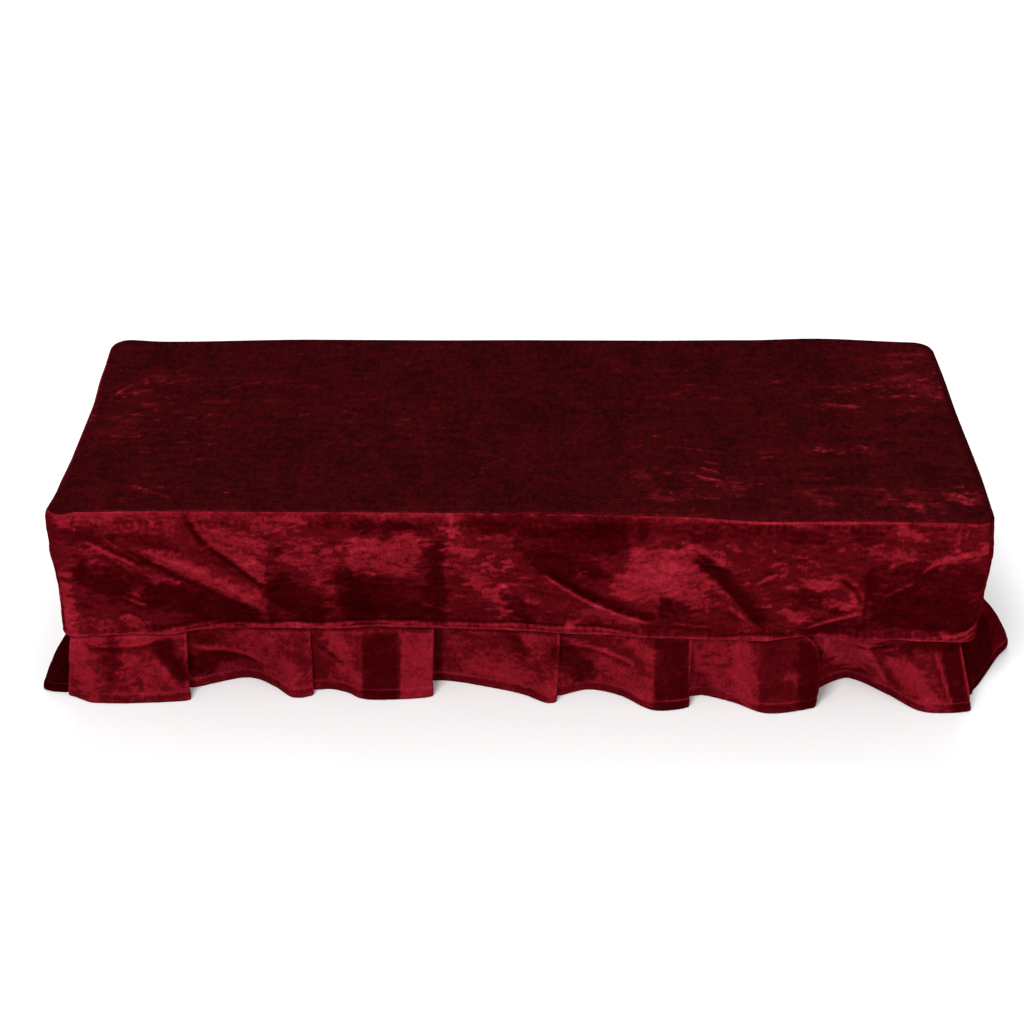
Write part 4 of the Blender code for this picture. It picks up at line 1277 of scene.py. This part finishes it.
def make_skirt(side, materials, thread):
    """One pleated strip, from its allowance behind the band down to the stitched hem."""
    points, share, length = skirt_lines(side)
    heading = SIDES[side].heading
    turn = Matrix.Rotation(-math.radians(heading), 3, "Z")
    along = (points @ np.array(turn).T)[..., 0] / MM
    down = SEAM_Z - points[..., 2] / MM
    from_hem = (1 - share) * SKIRT_DROP
    marks, small = strokes(side, SKIRT_MARKS, SKIRT_DROP, SKIRT_STROKES, seed=61)
    # The creases' relief, and their painted highlights and shade
    sharp, tone = pinched([*SKIRT_CREASES[side], *small], along, down)
    relief = sharp + unevenness(SKIRT_UNEVEN, along, down)
    relief = relief * ease(down / 6) * ease((from_hem + 4) / 12)
    relief = relief + raised(SKIRT_STRIPS[side], along, down) * ease(down / 1.5)
    relief = relief + HEM_FULLNESS * ease((HEM_DEPTH - 0.6 - from_hem) / 1.2)
    relief = relief - 0.3 * bell(from_hem - HEM_DEPTH, 0.8)
    outwards = facing(points)
    points = points + MM * relief[..., None] * outwards
    # Painted shade and light of the skirt's upright faces
    tone = tone + panelled(SKIRT_PANELS[side], along, down)
    tone = tone + marked(marks, along, down, seed=81 + heading)
    # Painted highlights and shade at the seam, and painted shade under the band
    tone = tone + seam_shine(SKIRT_STRIPS[side], along, down) + SKIRT_SEAM_SHADE * bell(down, 1.5)
    # Painted highlight along the hem's sewn line and painted shade below it
    hem_highlight = HEM_SHINE + HEM_UNEVEN * waves(along, 0, 60, 1, seed=73)
    tone = tone + hem_highlight * bell(from_hem - HEM_DEPTH, 0.9)
    tone = tone + HEM_SHADE * bell(from_hem - HEM_DEPTH + 2.4, 1.3)
    cloth = (length[None, :] + STRETCH_PER_DEGREE * heading + SKIRT_STRETCH, -down)
    # The side's tone, painted darker on the right and left as shade
    nap_and_shading = SKIRT_TONE[side] + tone
    piece = sheet(f"skirt_{side}", points, cloth, nap_and_shading, materials, SKIRT_CLOTH, offset=0)
    hem_line = HEM_ROWS - 1
    stitches = make_stitches(side, points[hem_line], outwards[hem_line], length, thread)
    return piece, stitches, length[-1]


def make_stitches(side, line, outwards, length, thread):
    """The hem's row of stitches along a line of the cloth."""
    curve = bpy.data.curves.new(f"hem_stitches_{side}", "CURVE")
    curve.dimensions = "3D"
    curve.bevel_depth = THREAD / 2 * MM
    curve.bevel_resolution = 1
    curve.use_fill_caps = True
    steps = len(STITCH_RISE)
    for start in np.arange(STITCHES_FROM, length[-1] - STITCHES_TO_END, STITCH_PITCH):
        spline = curve.splines.new("POLY")
        spline.points.add(steps - 1)
        for point, share, height in zip(spline.points, np.linspace(0, 1, steps), STITCH_RISE):
            at = start + share * STITCH_LENGTH
            spot = np.array([np.interp(at, length, column) for column in line.T])
            normal = np.array([np.interp(at, length, column) for column in outwards.T])
            lift = MM * (SKIRT_CLOTH / 2 + height) * normal / np.linalg.norm(normal)
            point.co = (*(spot + lift), 1.0)
    curve.materials.append(thread)
    return show(f"hem_stitches_{side}", curve)


def make_stage(floor_z):
    """A plain pale floor under the hem, a white surround and soft lights."""
    bpy.ops.mesh.primitive_plane_add(size=16, location=(0, 2, floor_z))
    floor = bpy.context.object
    floor.name = "floor"
    pale, tree = new_material("floor_pale")
    shade(tree, {"Base Color": (0.94, 0.94, 0.94, 1.0), "Roughness": 0.9})
    floor.data.materials.append(pale)
    world = bpy.data.worlds.new("surround")
    bpy.context.scene.world = world
    world.use_nodes = True
    white = {"Color": (1.0, 1.0, 1.0, 1.0), "Strength": 0.5}
    feed(world.node_tree, world.node_tree.nodes["Background"], white)
    for lamp in LAMPS:
        light = bpy.data.lights.new(lamp.name, "AREA")
        light.size = lamp.size
        light.energy = lamp.power
        holder = new_object(lamp.name, light)
        holder.location = lamp.place
        holder.rotation_euler = (-Vector(lamp.place)).to_track_quat("-Z", "Y").to_euler()


def make_camera():
    """The photograph's view, fitted to the top's corners, the front seam and the hem."""
    lens = bpy.data.cameras.new("camera")
    lens.sensor_width = 36.0
    lens.lens = 82.28
    camera = new_object("camera", lens)
    right = Vector((0.99997, 0.00634, 0.00344))
    up = Vector((-0.00593, 0.45123, 0.89239))
    back = Vector((0.00411, -0.89239, 0.45126))
    place = (0.001, -1.831, 0.843)
    turn = Matrix((right, up, back)).transposed().to_4x4()
    camera.matrix_world = Matrix.Translation(place) @ turn
    bpy.context.scene.camera = camera


def main():
    """Dresses the whole cover and sets its stage and camera."""
    wrong_side = backing("velvet_backing")
    top_velvet = [velvet("velvet_top", TOP_LAYERS, SHEEN["top"], TOP_PAINTED_SHEEN, TOP_SPOTS), wrong_side]
    band_velvet = [velvet("velvet_band", BAND_LAYERS, SHEEN["band"]), wrong_side]
    skirt_velvet = [velvet("velvet_skirt", SKIRT_LAYERS, SHEEN["skirt"]), wrong_side]
    thread = sewing_thread("hem_thread")
    top = make_top(top_velvet)
    for side, plan in SIDES.items():
        band = make_band(side, band_velvet)
        skirt, stitches, length = make_skirt(side, skirt_velvet, thread)
    make_stage(cad_box[0][2] - FLOOR_GAP)
    make_camera()
    bpy.context.scene.view_settings.view_transform = "Standard"


main()
